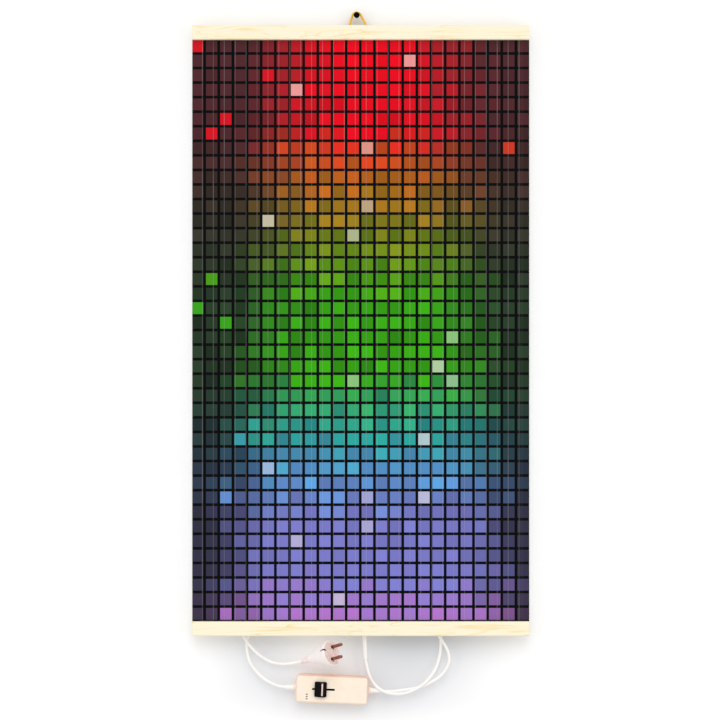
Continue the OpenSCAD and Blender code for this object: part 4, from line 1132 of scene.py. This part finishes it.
def paint(piece, material):
    piece.data.materials.clear()
    piece.data.materials.append(material)


for material, names in NODE_MATERIALS.items():
    for name in names:
        paint(nodes[name], material)
paint(film_front, printed())
paint(film_back, back_sheet())
paint(gold_cord, rope())
for lead in (heater_lead, mains_lead):
    paint(lead, white_sheath)
strap_fabric = strap()
for tie in (heater_tie, mains_tie):
    paint(tie, strap_fabric)


# Small marks beside the slider: three short bars, as on any level control

MARK_COUNT = 3
MARK_SIDES = 16
MARK_X = -37
MARK_Y = -11.5
MARK_STEP = 3.4
MARK_L = 3.2
MARK_H = 1.5
MARK_LIFT = 0.03


def make_marks():
    front_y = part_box("controller_front_shell")[0].y
    points, faces = [], []
    for i in range(MARK_COUNT):
        rise = MARK_Y + (i - (MARK_COUNT - 1) / 2) * MARK_STEP
        middle = ctrl_middle + ctrl_heading * (MARK_X * MM) + ctrl_up * (rise * MM)
        ring = []
        for k in range(MARK_SIDES):
            a = 2 * math.pi * k / MARK_SIDES
            p = middle + ctrl_heading * (MARK_L / 2 * MM * math.cos(a))
            p += ctrl_up * (MARK_H / 2 * MM * math.sin(a))
            ring.append(len(points))
            points.append((p.x, front_y - MARK_LIFT * MM, p.z))
        faces.append(tuple(ring))
    marks = mesh_object("level_marks", points, faces, smooth=False)
    paint(marks, black_satin)
    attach(marks, "panel")


make_marks()


# Stage: a white wall just behind the peg's flange, open from behind, with painted soft shadows, and soft
# studio light

WALL_GAP = 0.5 * MM
WALL_HALF = 3.0
WALL_LIT = 0.94
WALL_GLOW = 0.07
SKY_FILL = 0.8
KEY_ELEVATION = 40
KEY_SPREAD = 45
KEY_STRENGTH = 0.65
# Strip lamps on both sides
STRIP_X = 1.8
STRIP_Y = -1.2
STRIP_Z = -0.5
STRIP_SIZE = (0.16, 1.8)
STRIP_WATTS = 4
# Painted soft shadows on the wall, under the lower lath, behind the controller and round the peg:
# middle x and z, half width, half height and depth
PAINTED_SHADOWS = [
    (0.085, -0.915, 0.20, 0.105, 0.42),
    (-0.145, -0.93, 0.11, 0.09, 0.24),
    (-0.01, -1.005, 0.265, 0.065, 0.25),
    (0.0, -0.018, 0.032, 0.024, 0.26),
]
# Share of a painted shadow's depth in red, green and blue: cool, against the warm light off the pine
SHADOW_TINT = (1.05, 1.0, 0.9)


def seen_rays(g):
    """1 for camera, glossy and transmission rays, and 0 for the rest."""
    rays = g.add("ShaderNodeLightPath")
    total = rays.outputs["Is Camera Ray"]
    for name in ("Is Glossy Ray", "Is Transmission Ray"):
        total = g.math("MAXIMUM", total, rays.outputs[name])
    return total


def painted_shadow_tone(g, patch):
    """Painted shadow on the wall: its tone in and round one patch, white outside it."""
    x, z, half_w, half_h, depth = patch
    coordinates = g.add("ShaderNodeTexCoord").outputs["Object"]
    mapping = g.add("ShaderNodeMapping", (("vector_type", "TEXTURE"),))
    g.put(mapping.inputs["Vector"], coordinates)
    g.put(mapping.inputs["Location"], (x, 0, z))
    g.put(mapping.inputs["Scale"], (half_w, 1, half_h))
    reach = g.add("ShaderNodeVectorMath", (("operation", "LENGTH"),))
    g.put(reach.inputs[0], mapping.outputs["Vector"])
    outside = g.add("ShaderNodeMapRange", (("interpolation_type", "SMOOTHSTEP"),))
    g.put(outside.inputs["Value"], reach.outputs["Value"])
    deepest = [1 - depth * share for share in SHADOW_TINT]
    return g.mix(outside.outputs[0], (*deepest, 1), (1, 1, 1, 1))


def make_wall():
    corners = [(x * WALL_HALF, WALL_GAP, z * WALL_HALF) for x, z in ((-1, -1), (1, -1), (1, 1), (-1, 1))]
    wall = mesh_object("wall", corners, [(0, 1, 2, 3)], smooth=False)
    g = Graph("wall")
    tone = (WALL_LIT, WALL_LIT, WALL_LIT, 1)
    # painted shadows darken the wall's colour, and its glow with it
    for patch in PAINTED_SHADOWS:
        tone = g.mix(1.0, painted_shadow_tone(g, patch), tone, "MULTIPLY")
    g.finish(tone, roughness=0.9, specular=0.0)
    g.put(g.shader.inputs["Emission Color"], tone)
    glow = g.math("MULTIPLY", seen_rays(g), WALL_GLOW)
    g.put(g.shader.inputs["Emission Strength"], glow)
    out = g.tree.nodes["Material Output"]
    clear = g.add("ShaderNodeBsdfTransparent")
    front_only = g.math("SUBTRACT", 1.0, g.add("ShaderNodeNewGeometry").outputs["Backfacing"])
    shown = g.math("MULTIPLY", seen_rays(g), front_only)
    mixed = g.tree.nodes.new("ShaderNodeMixShader")
    g.put(mixed.inputs[0], shown)
    g.put(mixed.inputs[1], clear.outputs[0])
    g.put(mixed.inputs[2], g.shader.outputs[0])
    g.put(out.inputs["Surface"], mixed.outputs[0])
    paint(wall, g.material)


def make_world():
    world = bpy.data.worlds.new("studio")
    bpy.context.scene.world = world
    world.use_nodes = True
    background = world.node_tree.nodes["Background"]
    background.inputs["Color"].default_value = (1, 1, 1, 1)
    background.inputs["Strength"].default_value = SKY_FILL


def make_lamp(name, place, target, size, watts):
    data = bpy.data.lights.new(name, "AREA")
    data.shape = "RECTANGLE"
    data.size, data.size_y = size
    data.energy = watts
    lamp = bpy.data.objects.new(name, data)
    bpy.context.scene.collection.objects.link(lamp)
    lamp.location = place
    lamp.rotation_euler = (Vector(target) - Vector(place)).to_track_quat("-Z", "Y").to_euler()


def make_sun(name, elevation, spread, strength):
    """Even soft light from in front and above."""
    data = bpy.data.lights.new(name, "SUN")
    data.angle = math.radians(spread)
    data.energy = strength
    sun = bpy.data.objects.new(name, data)
    bpy.context.scene.collection.objects.link(sun)
    sun.rotation_euler = (math.radians(90 - elevation), 0, 0)


make_wall()
make_world()
make_sun("key_above", KEY_ELEVATION, KEY_SPREAD, KEY_STRENGTH)
for name, x in (("left_strip", -STRIP_X), ("right_strip", STRIP_X)):
    make_lamp(name, (x, STRIP_Y, STRIP_Z), (0.0, 0.0, STRIP_Z), STRIP_SIZE, STRIP_WATTS)

bpy.context.scene.view_settings.view_transform = "Standard"
